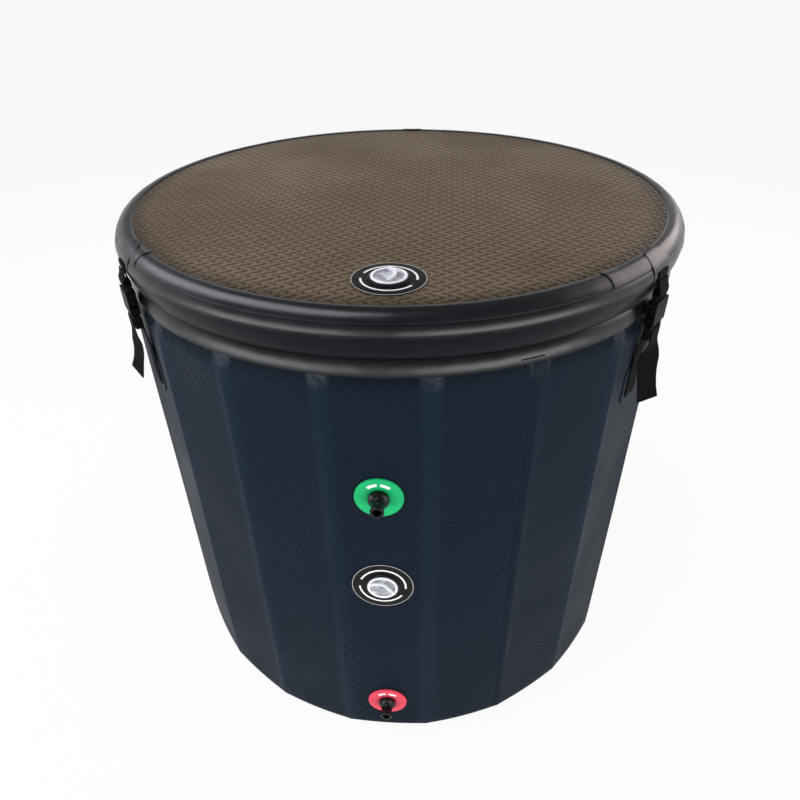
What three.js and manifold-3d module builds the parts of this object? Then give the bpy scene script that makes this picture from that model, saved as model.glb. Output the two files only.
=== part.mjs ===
// Round inflatable cold plunge tub with an inflatable lid held by buckled straps.
// Millimetres, +Z up. The origin is the middle of the underside and the water ports face -Y.
import * as THREE from "three";
import { mergeVertices } from "three/addons/utils/BufferGeometryUtils.js";
import Module from "manifold-3d";

const wasm = await Module();
wasm.setup();

// Fits, and how many flats stand for a round
const FIT_GAP = 0.3;
const LABEL_FLATS = 24;
const LARGE_FLATS = 20;
const SMALL_FLATS = 16;
const STEM_FLATS = 12;

// Tub wall: a drop-stitch panel bent into a ring, creased into flat facets
const TUB_RADIUS = 394;
const SEAM_HEIGHT = 686;
const WALL_THICKNESS = 54;
const FACET_COUNT = 20;
const FACET_DEPTH = 2.4;
const FACET_FADE = 50;
const RIDGE_WIDTH = 24;
const BASE_EDGE_RADIUS = 8;
const SKIN_THICKNESS = 1.5;
const BASE_SHEET_THICKNESS = 2;
const LINER_FOOT_WIDTH = 25;
const SEAM_STRIP_THICKNESS = 1;
const SEAM_STRIP_FACET = 1;

// Lid: a round drop-stitch panel with a half-round edge
const LID_OVERHANG = 6;
const LID_THICKNESS = 46;
const LID_TOP_PANEL_INSET = 26;
const LID_BOTTOM_PANEL_INSET = 30;
const LID_CREASE_ANGLE = 30;
const LID_FLATS = 60;
const LID_CORE_FLATS = 30;

// Water ports: hose tails through the wall, with a coloured cover disc outside
const UPPER_PORT_DROP = 173;
const LOWER_PORT_HEIGHT = 72;
const PORT_BORE_RADIUS = 5.5;
const PORT_TAIL_RADIUS = 8.25;
const PORT_TAIL_REACH = 28.5;
const PORT_TAIL_LIP = 0.6;
const PORT_COLLAR_RADIUS = 13;
const PORT_COLLAR_LENGTH = 6;
const PORT_DISC_RADIUS = 30.3;
const PORT_DISC_THICKNESS = 3;
const PORT_SLEEVE_WALL = 4;
const PORT_GASKET_RADIUS = 19;
const PORT_GASKET_THICKNESS = 2;
const PORT_NUT_FLANGE = 3;
const PORT_NUT_LENGTH = 12;
const PORT_NUT_RADIUS = 16;
const PORT_STEM_SPARE = 3;

// Inflation valves: one in the wall, one in the lid
const WALL_VALVE_DROP = 163;
const LID_VALVE_INSET = 87;
const LID_VALVE_AZIMUTH = 2;
const VALVE_LABEL_RADIUS = 42;
const VALVE_LABEL_THICKNESS = 1;
const VALVE_FLANGE_RADIUS = 23.5;
const VALVE_FLANGE_HEIGHT = 1.4;
const VALVE_EDGE = 0.7;
const VALVE_NECK_RADIUS = 19.5;
const VALVE_NECK_DEPTH = 9;
const VALVE_SOCKET_RADIUS = 17.2;
const VALVE_SOCKET_DEPTH = 5;
const VALVE_THROAT_RADIUS = 12;
const VALVE_THROAT_WALL = 4;
const VALVE_THROAT_DEPTH = 22;
const VALVE_HUB_RADIUS = 6;
const VALVE_HUB_HEIGHT = 5;
const VALVE_HUB_RISE = 2;
const VALVE_SPOKES = 3;
const VALVE_SPOKE_WIDTH = 3;
const VALVE_NUT_RADIUS = 27;
const VALVE_NUT_HEIGHT = 6.5;
const VALVE_STEM_RADIUS = 2.8;
const VALVE_BUTTON_RADIUS = 6;
const VALVE_BUTTON_HEIGHT = 2.5;
const VALVE_BUTTON_TOP = -0.6;
const VALVE_DISC_OVERLAP = 1.5;
const VALVE_DISC_THICKNESS = 3;
const VALVE_STROKE = 6;
const VALVE_POCKET_SPARE = 3;
const SPRING_WIRE_RADIUS = 0.5;
const SPRING_COIL_RADIUS = 4.5;
const SPRING_TURNS = 4;
const SPRING_STEPS = 8;
const CAP_RADIUS = 20.5;
const CAP_RIM_HEIGHT = 1.7;
const CAP_RIM_WIDTH = 4.5;
const CAP_DISH_DEPTH = 3.4;
const CAP_DISH_SLOPE = 1.5;
const CAP_FLOOR_THICKNESS = 1.6;
const CAP_SKIRT_PLAY = 0.15;
const CAP_SKIRT_RADIUS = VALVE_SOCKET_RADIUS * Math.cos(Math.PI / SMALL_FLATS) - CAP_SKIRT_PLAY;
const CAP_SKIRT_WALL = 2.1;
const CAP_RIB_WIDTH = 2.4;
const CAP_RIB_RISE = 2;
const WALL_CAP_TURN = 65;
const CAP_RIB_STEPS = 8;
const CAP_SEAL_THICKNESS = 1.1;

// Lid straps: webbing and a side-release buckle on a facet
const STRAPS = [
  { name: "left", facet: -3, tail: 82 },
  { name: "right", facet: 3, tail: 104 },
  { name: "rear", facet: 10, tail: 92 },
];
const WEBBING_WIDTH = 25;
const WEBBING_THICKNESS = 1.5;
const WEBBING_TURN = 1.6;
const WEBBING_SLACK = 0.5;
const WEBBING_EASE = 4;
const WALL_STRAP_STEPS = 4;
const LID_STRAP_STEPS = 3;
const TAIL_FLARE = 10;
const STRAP_PATCH_WIDTH = 46;
const STRAP_PATCH_HEIGHT = 56;
const STRAP_PATCH_CORNER = 10;
const STRAP_PATCH_THICKNESS = 1.2;
const STRAP_PATCH_DROP = 102;
const LID_PATCH_REACH = 2;
const LID_STRAP_ANGLE = 40;

// Buckle: a socket half on the lid and a two-armed plug half on the wall strap
const BUCKLE_WIDTH = 35;
const BUCKLE_OUTSET = 3.5;
const BUCKLE_DROP = 37.6;
const BUCKLE_CORNER = 3;
const SOCKET_THICKNESS = 12;
const SOCKET_LENGTH = 31;
const SOCKET_WALL = 2.6;
const SOCKET_SIDE_WALL = 2.1;
const SOCKET_DEPTH = 29;
const WINDOW_START = 9;
const WINDOW_LENGTH = 14;
const BAR_FRAME_LENGTH = 11;
const BAR_FRAME_INSET = 1;
const BAR_THICKNESS = 6;
const BAR_WIDTH = 4.8;
const STRAP_SLOT_HEIGHT = 4.2;
const STRAP_SLOT_MARGIN = 0.7;
const PLUG_LENGTH = 20;
const PLUG_THICKNESS = 8;
const PLUG_RUNG = 4;
const TONGUE_WIDTH = 8;
const TONGUE_LENGTH = 24;
const ARM_LENGTH = 24.5;
const ARM_ROOT_WIDTH = 3.4;
const ARM_PAD_WIDTH = 6;
const ARM_PAD_START = 10;
const ARM_PAD_LENGTH = 10;
const ARM_PLAY = 0.4;
const ARM_TIP_EASE = 1;

// Levels and radii that follow from the sizes above
const FACET_APOTHEM = TUB_RADIUS - FACET_DEPTH;
const FACET_ANGLE = (2 * Math.PI) / FACET_COUNT;
const RIDGE_START = Math.atan(Math.tan(FACET_ANGLE / 2) - RIDGE_WIDTH / 2 / FACET_APOTHEM);
const WALL_BOTTOM = BASE_SHEET_THICKNESS + FIT_GAP;
const LINER_RADIUS = TUB_RADIUS - WALL_THICKNESS;
const CORE_INSET = SKIN_THICKNESS + FIT_GAP;
const RIM_RADIUS = WALL_THICKNESS / 2;
const RIM_CENTRE_RADIUS = TUB_RADIUS - RIM_RADIUS;
const RIM_CENTRE_HEIGHT = SEAM_HEIGHT + FIT_GAP;
const LID_BOTTOM = RIM_CENTRE_HEIGHT + RIM_RADIUS + FIT_GAP;
const LID_TOP = LID_BOTTOM + LID_THICKNESS;
const LID_MIDDLE = LID_BOTTOM + LID_THICKNESS / 2;
const LID_RADIUS = TUB_RADIUS + LID_OVERHANG;
const LID_EDGE_RADIUS = LID_THICKNESS / 2;
const LID_EDGE_CENTRE = LID_RADIUS - LID_EDGE_RADIUS;
const UPPER_PORT_HEIGHT = SEAM_HEIGHT - UPPER_PORT_DROP;
const WALL_VALVE_HEIGHT = UPPER_PORT_HEIGHT - WALL_VALVE_DROP;
const PORT_SLEEVE_RADIUS = PORT_TAIL_RADIUS + 2 * FIT_GAP + PORT_SLEEVE_WALL;
const VALVE_POCKET_RADIUS = VALVE_NUT_RADIUS + 5 * FIT_GAP;
const VALVE_DISC_TOP = -VALVE_THROAT_DEPTH - FIT_GAP;
const VALVE_POCKET_DEPTH = VALVE_THROAT_DEPTH + VALVE_DISC_THICKNESS + VALVE_STROKE + VALVE_POCKET_SPARE;
const VALVE_FLANGE_BOTTOM = VALVE_LABEL_THICKNESS + 2 * FIT_GAP;
const VALVE_FLANGE_TOP = VALVE_FLANGE_BOTTOM + VALVE_FLANGE_HEIGHT;
const BUCKLE_RADIUS = LID_RADIUS + BUCKLE_OUTSET;
const BUCKLE_MOUTH = LID_BOTTOM - BUCKLE_DROP;

// Colour and surface of each material
const FINISHES = {
  wall: { color: 0x2b323c, roughness: 0.55, metalness: 0 },
  tape: { color: 0x25272c, roughness: 0.32, metalness: 0 },
  panel: { color: 0x5d5345, roughness: 0.6, metalness: 0 },
  core: { color: 0xb9b6ac, roughness: 0.9, metalness: 0 },
  label: { color: 0x141415, roughness: 0.45, metalness: 0 },
  valve: { color: 0xd7d9dc, roughness: 0.3, metalness: 0 },
  green: { color: 0x14b96a, roughness: 0.4, metalness: 0 },
  red: { color: 0xef4a5c, roughness: 0.4, metalness: 0 },
  fitting: { color: 0x101112, roughness: 0.35, metalness: 0 },
  rubber: { color: 0x1c1c1d, roughness: 0.8, metalness: 0 },
  webbing: { color: 0x0d0d0e, roughness: 0.85, metalness: 0 },
  buckle: { color: 0x121213, roughness: 0.4, metalness: 0 },
  steel: { color: 0xb4b7ba, roughness: 0.3, metalness: 1 },
};

/** One named sub-part. */
function piece(name, geometry, finish) {
  const mesh = new THREE.Mesh(outward(geometry), new THREE.MeshStandardMaterial(FINISHES[finish]));
  mesh.name = name;
  return mesh;
}

/** The geometry with its vertices shared and its flattened triangles left out. */
function welded(geometry) {
  const bare = geometry.clone();
  bare.deleteAttribute("normal");
  bare.deleteAttribute("uv");
  const merged = mergeVertices(bare, 1e-4);
  const index = [];
  for (let i = 0; i < merged.index.count; i += 3) {
    const [a, b, c] = [0, 1, 2].map((k) => merged.index.getX(i + k));
    if (a !== b && b !== c && c !== a) index.push(a, b, c);
  }
  merged.setIndex(index);
  return merged;
}

/** Six times the volume that the triangles enclose, negative where they face inwards. */
function signedVolume(geometry) {
  const at = geometry.attributes.position;
  const corners = [new THREE.Vector3(), new THREE.Vector3(), new THREE.Vector3()];
  let sum = 0;
  for (let i = 0; i < geometry.index.count; i += 3) {
    corners.forEach((corner, k) => corner.fromBufferAttribute(at, geometry.index.getX(i + k)));
    sum += corners[0].dot(corners[1].clone().cross(corners[2]));
  }
  return sum;
}

/** The geometry as one shared-vertex surface that faces outwards. */
function outward(geometry) {
  const shell = welded(geometry);
  if (signedVolume(shell) < 0) {
    shell.setIndex(Array.from(shell.index.array).reverse());
  }
  shell.computeVertexNormals();
  return shell;
}

/** A solid that can be joined and cut. */
function solid(geometry) {
  const shell = outward(geometry);
  const vertProperties = new Float32Array(shell.attributes.position.array);
  const triVerts = new Uint32Array(shell.index.array);
  return new wasm.Manifold(new wasm.Mesh({ numProp: 3, vertProperties, triVerts }));
}

/** The surface of a solid. */
function surface(body) {
  const mesh = body.getMesh();
  const geometry = new THREE.BufferGeometry();
  geometry.setAttribute("position", new THREE.BufferAttribute(mesh.vertProperties, mesh.numProp));
  geometry.setIndex(new THREE.BufferAttribute(mesh.triVerts, 1));
  return geometry;
}

/** The first geometry with every tool cut out of it. */
function cut(base, tools) {
  return surface(tools.reduce((body, tool) => body.subtract(solid(tool)), solid(base)));
}

/** All the geometries joined into one. */
function join(parts) {
  return surface(parts.map(solid).reduce((body, part) => body.add(part)));
}

/** A [radius, height] profile turned about +Z. A profile off the axis closes on itself. */
function turned(profile, segments) {
  const points = profile.map(([radius, height]) => new THREE.Vector2(radius, height));
  const onAxis = profile[0][0] === 0 && profile.at(-1)[0] === 0;
  if (!onAxis) points.push(points[0].clone());
  return new THREE.LatheGeometry(points, segments).rotateX(Math.PI / 2);
}

/** A flat ring or washer about +Z. */
function washer(inner, outer, bottom, top, segments) {
  const profile = [[inner, bottom], [outer, bottom], [outer, top], [inner, top]];
  return turned(profile, segments);
}

/** A round bar along +Z. */
function rod(radius, bottom, top, segments) {
  return turned([[0, bottom], [radius, bottom], [radius, top], [0, top]], segments);
}

/** Points of an arc in the radius-height plane, with angles in degrees. */
function arc(centreRadius, centreHeight, radius, angles) {
  return angles.map((angle) => {
    const turn = THREE.MathUtils.degToRad(angle);
    return [centreRadius + radius * Math.cos(turn), centreHeight + radius * Math.sin(turn)];
  });
}

/** A rectangle with round corners, centred on (x, y). */
function roundedRectangle(x, y, width, height, corner) {
  const path = new THREE.Shape();
  const [left, right] = [x - width / 2, x + width / 2];
  const [bottom, top] = [y - height / 2, y + height / 2];
  path.moveTo(left + corner, bottom);
  path.lineTo(right - corner, bottom);
  path.absarc(right - corner, bottom + corner, corner, -Math.PI / 2, 0);
  path.lineTo(right, top - corner);
  path.absarc(right - corner, top - corner, corner, 0, Math.PI / 2);
  path.lineTo(left + corner, top);
  path.absarc(left + corner, top - corner, corner, Math.PI / 2, Math.PI);
  path.lineTo(left, bottom + corner);
  path.absarc(left + corner, bottom + corner, corner, Math.PI, 1.5 * Math.PI);
  path.closePath();
  return path;
}

/** A flat outline given a thickness, with its middle on z = 0. */
function plate(shape, thickness, curveSegments = 2) {
  const settings = { depth: thickness, bevelEnabled: false, curveSegments };
  return new THREE.ExtrudeGeometry(shape, settings).translate(0, 0, -thickness / 2);
}

/** A band of even thickness along a path in its own XY plane, given a width along Z. */
function band(path, thickness, width, divisions) {
  const isNew = (point, i, all) => i === 0 || point.distanceTo(all[i - 1]) > 1e-6;
  const points = path.getPoints(divisions).filter(isNew);
  const side = (sign) => points.map((point, i) => {
    const before = points[Math.max(i - 1, 0)];
    const after = points[Math.min(i + 1, points.length - 1)];
    const along = after.clone().sub(before).normalize();
    return new THREE.Vector2(-along.y, along.x).multiplyScalar((sign * thickness) / 2).add(point);
  });
  return plate(new THREE.Shape([...side(-1), ...side(1).reverse()]), width);
}

/** A group whose local +Z points out of the wall at an azimuth, radius and height, with +Y up. */
function outFrom(azimuth, radius, height) {
  const frame = new THREE.Group();
  frame.rotation.set(Math.PI / 2, azimuth, 0, "ZXY");
  frame.position.set(radius * Math.sin(azimuth), -radius * Math.cos(azimuth), height);
  return frame;
}

/** The outline of the wall at a station: faceted below, round at the seam. */
function wallRadius(azimuth, height) {
  const fromFacetMiddle = azimuth - Math.round(azimuth / FACET_ANGLE) * FACET_ANGLE;
  const faceted = FACET_APOTHEM / Math.cos(fromFacetMiddle);
  const roundness = THREE.MathUtils.clamp((height - SEAM_HEIGHT + FACET_FADE) / FACET_FADE, 0, 1);
  return THREE.MathUtils.lerp(faceted, TUB_RADIUS, roundness);
}

/** The azimuths of a facet's two edges and its middle. */
function facetStations(facet) {
  return [-RIDGE_START, 0, RIDGE_START].map((offset) => facet * FACET_ANGLE + offset);
}

const WALL_STATIONS = Array.from({ length: FACET_COUNT }, (_, facet) => facetStations(facet)).flat();
const RIDGE_STATIONS = WALL_STATIONS.filter((_, i) => i % 3 !== 1);

/** Section points that follow the wall's outline, from [inset, height] pairs. */
function onWall(pairs) {
  return pairs.map(([inset, height]) => (azimuth) => [wallRadius(azimuth, height) - inset, height]);
}

/** Section points that are the same all round, from [radius, height] pairs. */
function allRound(pairs) {
  return pairs.map((pair) => () => pair);
}

/** A section carried round the tub through the stations, as a closed ring or a capped stretch. */
function ring(section, stations, closed = true) {
  const count = section.length;
  const positions = stations.flatMap((azimuth) => section.flatMap((point) => {
    const [radius, height] = point(azimuth);
    return [radius * Math.sin(azimuth), -radius * Math.cos(azimuth), height];
  }));
  const heights = section.map((point) => point(stations[0])[1]);
  const index = [];
  const spans = closed ? stations.length : stations.length - 1;
  for (let s = 0; s < spans; s += 1) {
    const here = s * count;
    const next = ((s + 1) % stations.length) * count;
    for (let p = 0; p < count; p += 1) {
      const q = (p + 1) % count;
      const [a, b, c, d] = [here + p, next + p, next + q, here + q];
      // Each face is split from its low corner to its high one, so that nested skins stay parallel.
      const split = heights[q] >= heights[p] ? [a, b, c, a, c, d] : [a, b, d, b, c, d];
      index.push(...split);
    }
  }
  if (!closed) {
    const outline = section.map((point) => new THREE.Vector2(...point(stations[0])));
    const last = (stations.length - 1) * count;
    const orient = THREE.ShapeUtils.isClockWise(outline) ? 1 : -1;
    for (const face of THREE.ShapeUtils.triangulateShape(outline, [])) {
      const turn = THREE.ShapeUtils.isClockWise(face.map((corner) => outline[corner])) ? 1 : -1;
      const [a, b, c] = turn === orient ? face : [face[0], face[2], face[1]];
      index.push(a, b, c, last + a, last + c, last + b);
    }
  }
  const geometry = new THREE.BufferGeometry();
  geometry.setAttribute("position", new THREE.Float32BufferAttribute(positions, 3));
  geometry.setIndex(index);
  return geometry;
}

/** A round hole through the wall at a height on the front facet. */
function wallHole(radius, height, inner, outer, segments) {
  return rod(radius, inner, outer, segments).rotateX(Math.PI / 2).translate(0, 0, height);
}

/** The wall's skins, air core, rim tape, base sheet and closing strip. */
function tubShell() {
  const bend = WALL_BOTTOM + BASE_EDGE_RADIUS;
  const diagonal = BASE_EDGE_RADIUS * (1 - Math.SQRT1_2);
  const innerBend = BASE_EDGE_RADIUS - SKIN_THICKNESS;
  const innerDiagonal = BASE_EDGE_RADIUS - innerBend * Math.SQRT1_2;
  const fadeStart = SEAM_HEIGHT - FACET_FADE;
  const ports = [UPPER_PORT_HEIGHT, LOWER_PORT_HEIGHT];
  const reach = TUB_RADIUS + WALL_THICKNESS;

  const skinSection = onWall([
    [BASE_EDGE_RADIUS, WALL_BOTTOM],
    [diagonal, WALL_BOTTOM + diagonal],
    [0, bend],
    [0, fadeStart],
    [0, SEAM_HEIGHT],
    [SKIN_THICKNESS, SEAM_HEIGHT],
    [SKIN_THICKNESS, fadeStart],
    [SKIN_THICKNESS, bend],
    [innerDiagonal, WALL_BOTTOM + innerDiagonal],
    [BASE_EDGE_RADIUS, WALL_BOTTOM + SKIN_THICKNESS],
  ]);
  const portHole = PORT_TAIL_RADIUS + 2 * FIT_GAP;
  const skinHoles = ports.map((height) => wallHole(portHole, height, LINER_RADIUS, reach, SMALL_FLATS));
  const neckHole = VALVE_NECK_RADIUS + FIT_GAP;
  const valveHole = wallHole(neckHole, WALL_VALVE_HEIGHT, RIM_CENTRE_RADIUS, reach, LARGE_FLATS);
  const outerSkin = cut(ring(skinSection, WALL_STATIONS), [...skinHoles, valveHole]);

  const coreRim = (angles) => arc(RIM_CENTRE_RADIUS, RIM_CENTRE_HEIGHT, RIM_RADIUS - CORE_INSET, angles);
  const clearOfRim = ([radius, height]) => [radius / Math.cos(RIDGE_START), height];
  const coreSection = [
    ...onWall([
      [BASE_EDGE_RADIUS + FIT_GAP, WALL_BOTTOM + CORE_INSET],
      [CORE_INSET, bend],
      [CORE_INSET, fadeStart],
    ]),
    ...allRound([
      ...coreRim([0, 60]),
      ...coreRim([120, 180]).map(clearOfRim),
      [LINER_RADIUS + CORE_INSET, fadeStart],
      [LINER_RADIUS + CORE_INSET, WALL_BOTTOM + CORE_INSET],
    ]),
  ];
  const sleeveHole = PORT_SLEEVE_RADIUS + FIT_GAP;
  const coreHoles = ports.map((height) => wallHole(sleeveHole, height, 0, reach, SMALL_FLATS));
  const pocketEnd = FACET_APOTHEM - VALVE_POCKET_DEPTH;
  const pocket = wallHole(VALVE_POCKET_RADIUS, WALL_VALVE_HEIGHT, pocketEnd, reach, LARGE_FLATS);
  const core = cut(ring(coreSection, RIDGE_STATIONS), [...coreHoles, pocket]);

  const footInner = LINER_RADIUS - LINER_FOOT_WIDTH;
  const footTop = WALL_BOTTOM + SKIN_THICKNESS;
  const linerSection = allRound([
    [footInner, WALL_BOTTOM],
    [LINER_RADIUS + SKIN_THICKNESS, WALL_BOTTOM],
    [LINER_RADIUS + SKIN_THICKNESS, SEAM_HEIGHT],
    [LINER_RADIUS, SEAM_HEIGHT],
    [LINER_RADIUS, footTop],
    [footInner, footTop],
  ]);
  const linerHoles = ports.map((height) => wallHole(portHole, height, 0, reach, SMALL_FLATS));
  const liner = cut(ring(linerSection, RIDGE_STATIONS), linerHoles);

  const rimOuterArc = [0, 30, 60, 90, 120, 180];
  const rimInnerArc = [180, 120, 60, 0];
  const rimSection = allRound([
    ...arc(RIM_CENTRE_RADIUS, RIM_CENTRE_HEIGHT, RIM_RADIUS, rimOuterArc),
    ...arc(RIM_CENTRE_RADIUS, RIM_CENTRE_HEIGHT, RIM_RADIUS - SKIN_THICKNESS, rimInnerArc),
  ]);

  const baseOutline = WALL_STATIONS.map((azimuth) => {
    const radius = wallRadius(azimuth, 0) - BASE_EDGE_RADIUS;
    return new THREE.Vector2(radius * Math.sin(azimuth), -radius * Math.cos(azimuth));
  });
  const baseSheet = plate(new THREE.Shape(baseOutline), BASE_SHEET_THICKNESS);

  const stripOuter = -FIT_GAP - SEAM_STRIP_THICKNESS;
  const stripTop = SEAM_HEIGHT - FIT_GAP;
  const stripSection = onWall([
    [stripOuter, bend],
    [stripOuter, fadeStart],
    [stripOuter, stripTop],
    [-FIT_GAP, stripTop],
    [-FIT_GAP, fadeStart],
    [-FIT_GAP, bend],
  ]);
  const ridge = [facetStations(SEAM_STRIP_FACET)[2], facetStations(SEAM_STRIP_FACET + 1)[0]];

  return [
    piece("wall_outer_skin", outerSkin, "wall"),
    piece("wall_air_core", core, "core"),
    piece("wall_inner_liner", liner, "wall"),
    piece("wall_rim_tape", ring(rimSection, WALL_STATIONS), "tape"),
    piece("base_sheet", baseSheet.translate(0, 0, BASE_SHEET_THICKNESS / 2), "wall"),
    piece("wall_seam_strip", ring(stripSection, ridge, false), "tape"),
  ];
}

/** The lid's panels, air core and two edge tapes. */
function lidShell() {
  const topPanel = LID_RADIUS - LID_TOP_PANEL_INSET;
  const bottomPanel = LID_RADIUS - LID_BOTTOM_PANEL_INSET;
  const coreArc = [-90, -45, 0, 45, 90];
  const coreProfile = [
    [0, LID_BOTTOM + CORE_INSET],
    ...arc(LID_EDGE_CENTRE, LID_MIDDLE, LID_EDGE_RADIUS - CORE_INSET, coreArc),
    [0, LID_TOP - CORE_INSET],
  ];
  const { x, y } = lidValvePlace();
  const pocket = rod(VALVE_POCKET_RADIUS, LID_TOP - VALVE_POCKET_DEPTH, LID_TOP + CORE_INSET, LARGE_FLATS);
  const core = cut(turned(coreProfile, LID_CORE_FLATS), [pocket.translate(x, y, 0)]);

  const neckHole = rod(VALVE_NECK_RADIUS + FIT_GAP, LID_BOTTOM, LID_TOP + LID_THICKNESS, LARGE_FLATS);
  const topSheet = rod(topPanel, LID_TOP - SKIN_THICKNESS, LID_TOP, LID_FLATS);
  const bottomSheet = rod(bottomPanel, LID_BOTTOM, LID_BOTTOM + SKIN_THICKNESS, LID_FLATS);

  const inner = LID_EDGE_RADIUS - SKIN_THICKNESS;
  const edge = (radius, angles) => arc(LID_EDGE_CENTRE, LID_MIDDLE, radius, angles);
  const creaseGap = THREE.MathUtils.radToDeg(FIT_GAP / inner);
  const upperEnd = LID_CREASE_ANGLE;
  const lowerEnd = LID_CREASE_ANGLE - creaseGap;
  const edgeTape = [
    [topPanel + FIT_GAP, LID_TOP],
    ...edge(LID_EDGE_RADIUS, [90, 70, 50, upperEnd]),
    ...edge(inner, [upperEnd, 45, 90]),
    [topPanel + FIT_GAP, LID_TOP - SKIN_THICKNESS],
  ];
  const sideTape = [
    [bottomPanel + FIT_GAP, LID_BOTTOM],
    ...edge(LID_EDGE_RADIUS, [-90, -45, -20, 5, lowerEnd]),
    ...edge(inner, [lowerEnd, 0, -45, -90]),
    [bottomPanel + FIT_GAP, LID_BOTTOM + SKIN_THICKNESS],
  ];
  return [
    piece("lid_top_panel", cut(topSheet, [neckHole.translate(x, y, 0)]), "panel"),
    piece("lid_air_core", core, "core"),
    piece("lid_bottom_panel", bottomSheet, "wall"),
    piece("lid_edge_tape", turned(edgeTape, LID_FLATS), "tape"),
    piece("lid_side_tape", turned(sideTape, LID_FLATS), "tape"),
  ];
}

/** Where the lid's valve stands on the lid. */
function lidValvePlace() {
  const azimuth = THREE.MathUtils.degToRad(LID_VALVE_AZIMUTH);
  const radius = LID_RADIUS - LID_VALVE_INSET;
  return new THREE.Vector3(radius * Math.sin(azimuth), -radius * Math.cos(azimuth), LID_TOP);
}

/** A hose port on the front facet, with its seals and the nut inside the tub. */
function hosePort(name, height, colour) {
  const discTop = FIT_GAP + PORT_DISC_THICKNESS;
  const collarBottom = discTop + FIT_GAP;
  const collarTop = collarBottom + PORT_COLLAR_LENGTH;
  const shaft = PORT_TAIL_RADIUS;
  const liner = LINER_RADIUS * Math.cos(RIDGE_START) - FACET_APOTHEM;
  const gasketTop = liner - FIT_GAP;
  const gasketBottom = gasketTop - PORT_GASKET_THICKNESS;
  const nutTop = gasketBottom - FIT_GAP;
  const nutBottom = nutTop - PORT_NUT_LENGTH;
  const hole = shaft + FIT_GAP;
  const sleeveHole = shaft + 2 * FIT_GAP;
  const chamfer = PORT_DISC_THICKNESS / 3;

  const disc = [
    [hole, FIT_GAP],
    [PORT_DISC_RADIUS, FIT_GAP],
    [PORT_DISC_RADIUS, discTop - chamfer],
    [PORT_DISC_RADIUS - chamfer, discTop],
    [hole, discTop],
  ];
  const tail = [
    [PORT_BORE_RADIUS, PORT_TAIL_REACH],
    [PORT_TAIL_RADIUS - PORT_TAIL_LIP, PORT_TAIL_REACH],
    [PORT_TAIL_RADIUS, PORT_TAIL_REACH - PORT_TAIL_LIP],
    [PORT_TAIL_RADIUS, collarTop + PORT_COLLAR_LENGTH],
    [(PORT_TAIL_RADIUS + PORT_COLLAR_RADIUS) / 2, collarTop + PORT_COLLAR_LENGTH / 4],
    [PORT_COLLAR_RADIUS, collarTop],
    [PORT_COLLAR_RADIUS, collarBottom],
    [shaft, collarBottom],
    [shaft, nutBottom - PORT_STEM_SPARE],
    [PORT_BORE_RADIUS, nutBottom - PORT_STEM_SPARE],
  ];
  const hexagon = new THREE.CylinderGeometry(PORT_NUT_RADIUS, PORT_NUT_RADIUS, PORT_NUT_LENGTH, 6);
  hexagon.rotateX(Math.PI / 2).translate(0, 0, (nutTop + nutBottom) / 2);
  const nutFlange = rod(PORT_GASKET_RADIUS, nutTop - PORT_NUT_FLANGE, nutTop, SMALL_FLATS);
  const nutBore = rod(hole, nutBottom - PORT_STEM_SPARE, nutTop + PORT_STEM_SPARE, SMALL_FLATS);
  const nut = cut(join([hexagon, nutFlange]), [nutBore]);
  const sleeve = washer(sleeveHole, PORT_SLEEVE_RADIUS, liner + CORE_INSET, -CORE_INSET, SMALL_FLATS);
  const gasket = washer(hole, PORT_GASKET_RADIUS, gasketBottom, gasketTop, SMALL_FLATS);

  const port = outFrom(0, FACET_APOTHEM, height);
  port.add(
    piece(`${name}_cover_disc`, turned(disc, LARGE_FLATS), colour),
    piece(`${name}_hose_tail`, turned(tail, SMALL_FLATS), "fitting"),
    piece(`${name}_wall_sleeve`, sleeve, "wall"),
    piece(`${name}_inner_gasket`, gasket, "rubber"),
    piece(`${name}_lock_nut`, nut, "fitting"),
  );
  return port;
}

/** The line of a compression spring about +Z. */
class SpringLine extends THREE.Curve {
  constructor(radius, bottom, top, turns) {
    super();
    Object.assign(this, { radius, bottom, top, turns });
  }

  getPoint(share, target = new THREE.Vector3()) {
    const angle = share * this.turns * 2 * Math.PI;
    const height = THREE.MathUtils.lerp(this.bottom, this.top, share);
    return target.set(this.radius * Math.cos(angle), this.radius * Math.sin(angle), height);
  }

  /** The least clear distance between neighbouring turns of a wire. */
  leastGap(wireRadius, steps = 16) {
    const last = steps * this.turns;
    const points = Array.from({ length: last + 1 }, (_, i) => this.getPoint(i / last));
    const across = points.slice(steps).map((point, i) => point.distanceTo(points[i]));
    return Math.min(...across) - 2 * wireRadius;
  }
}

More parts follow.
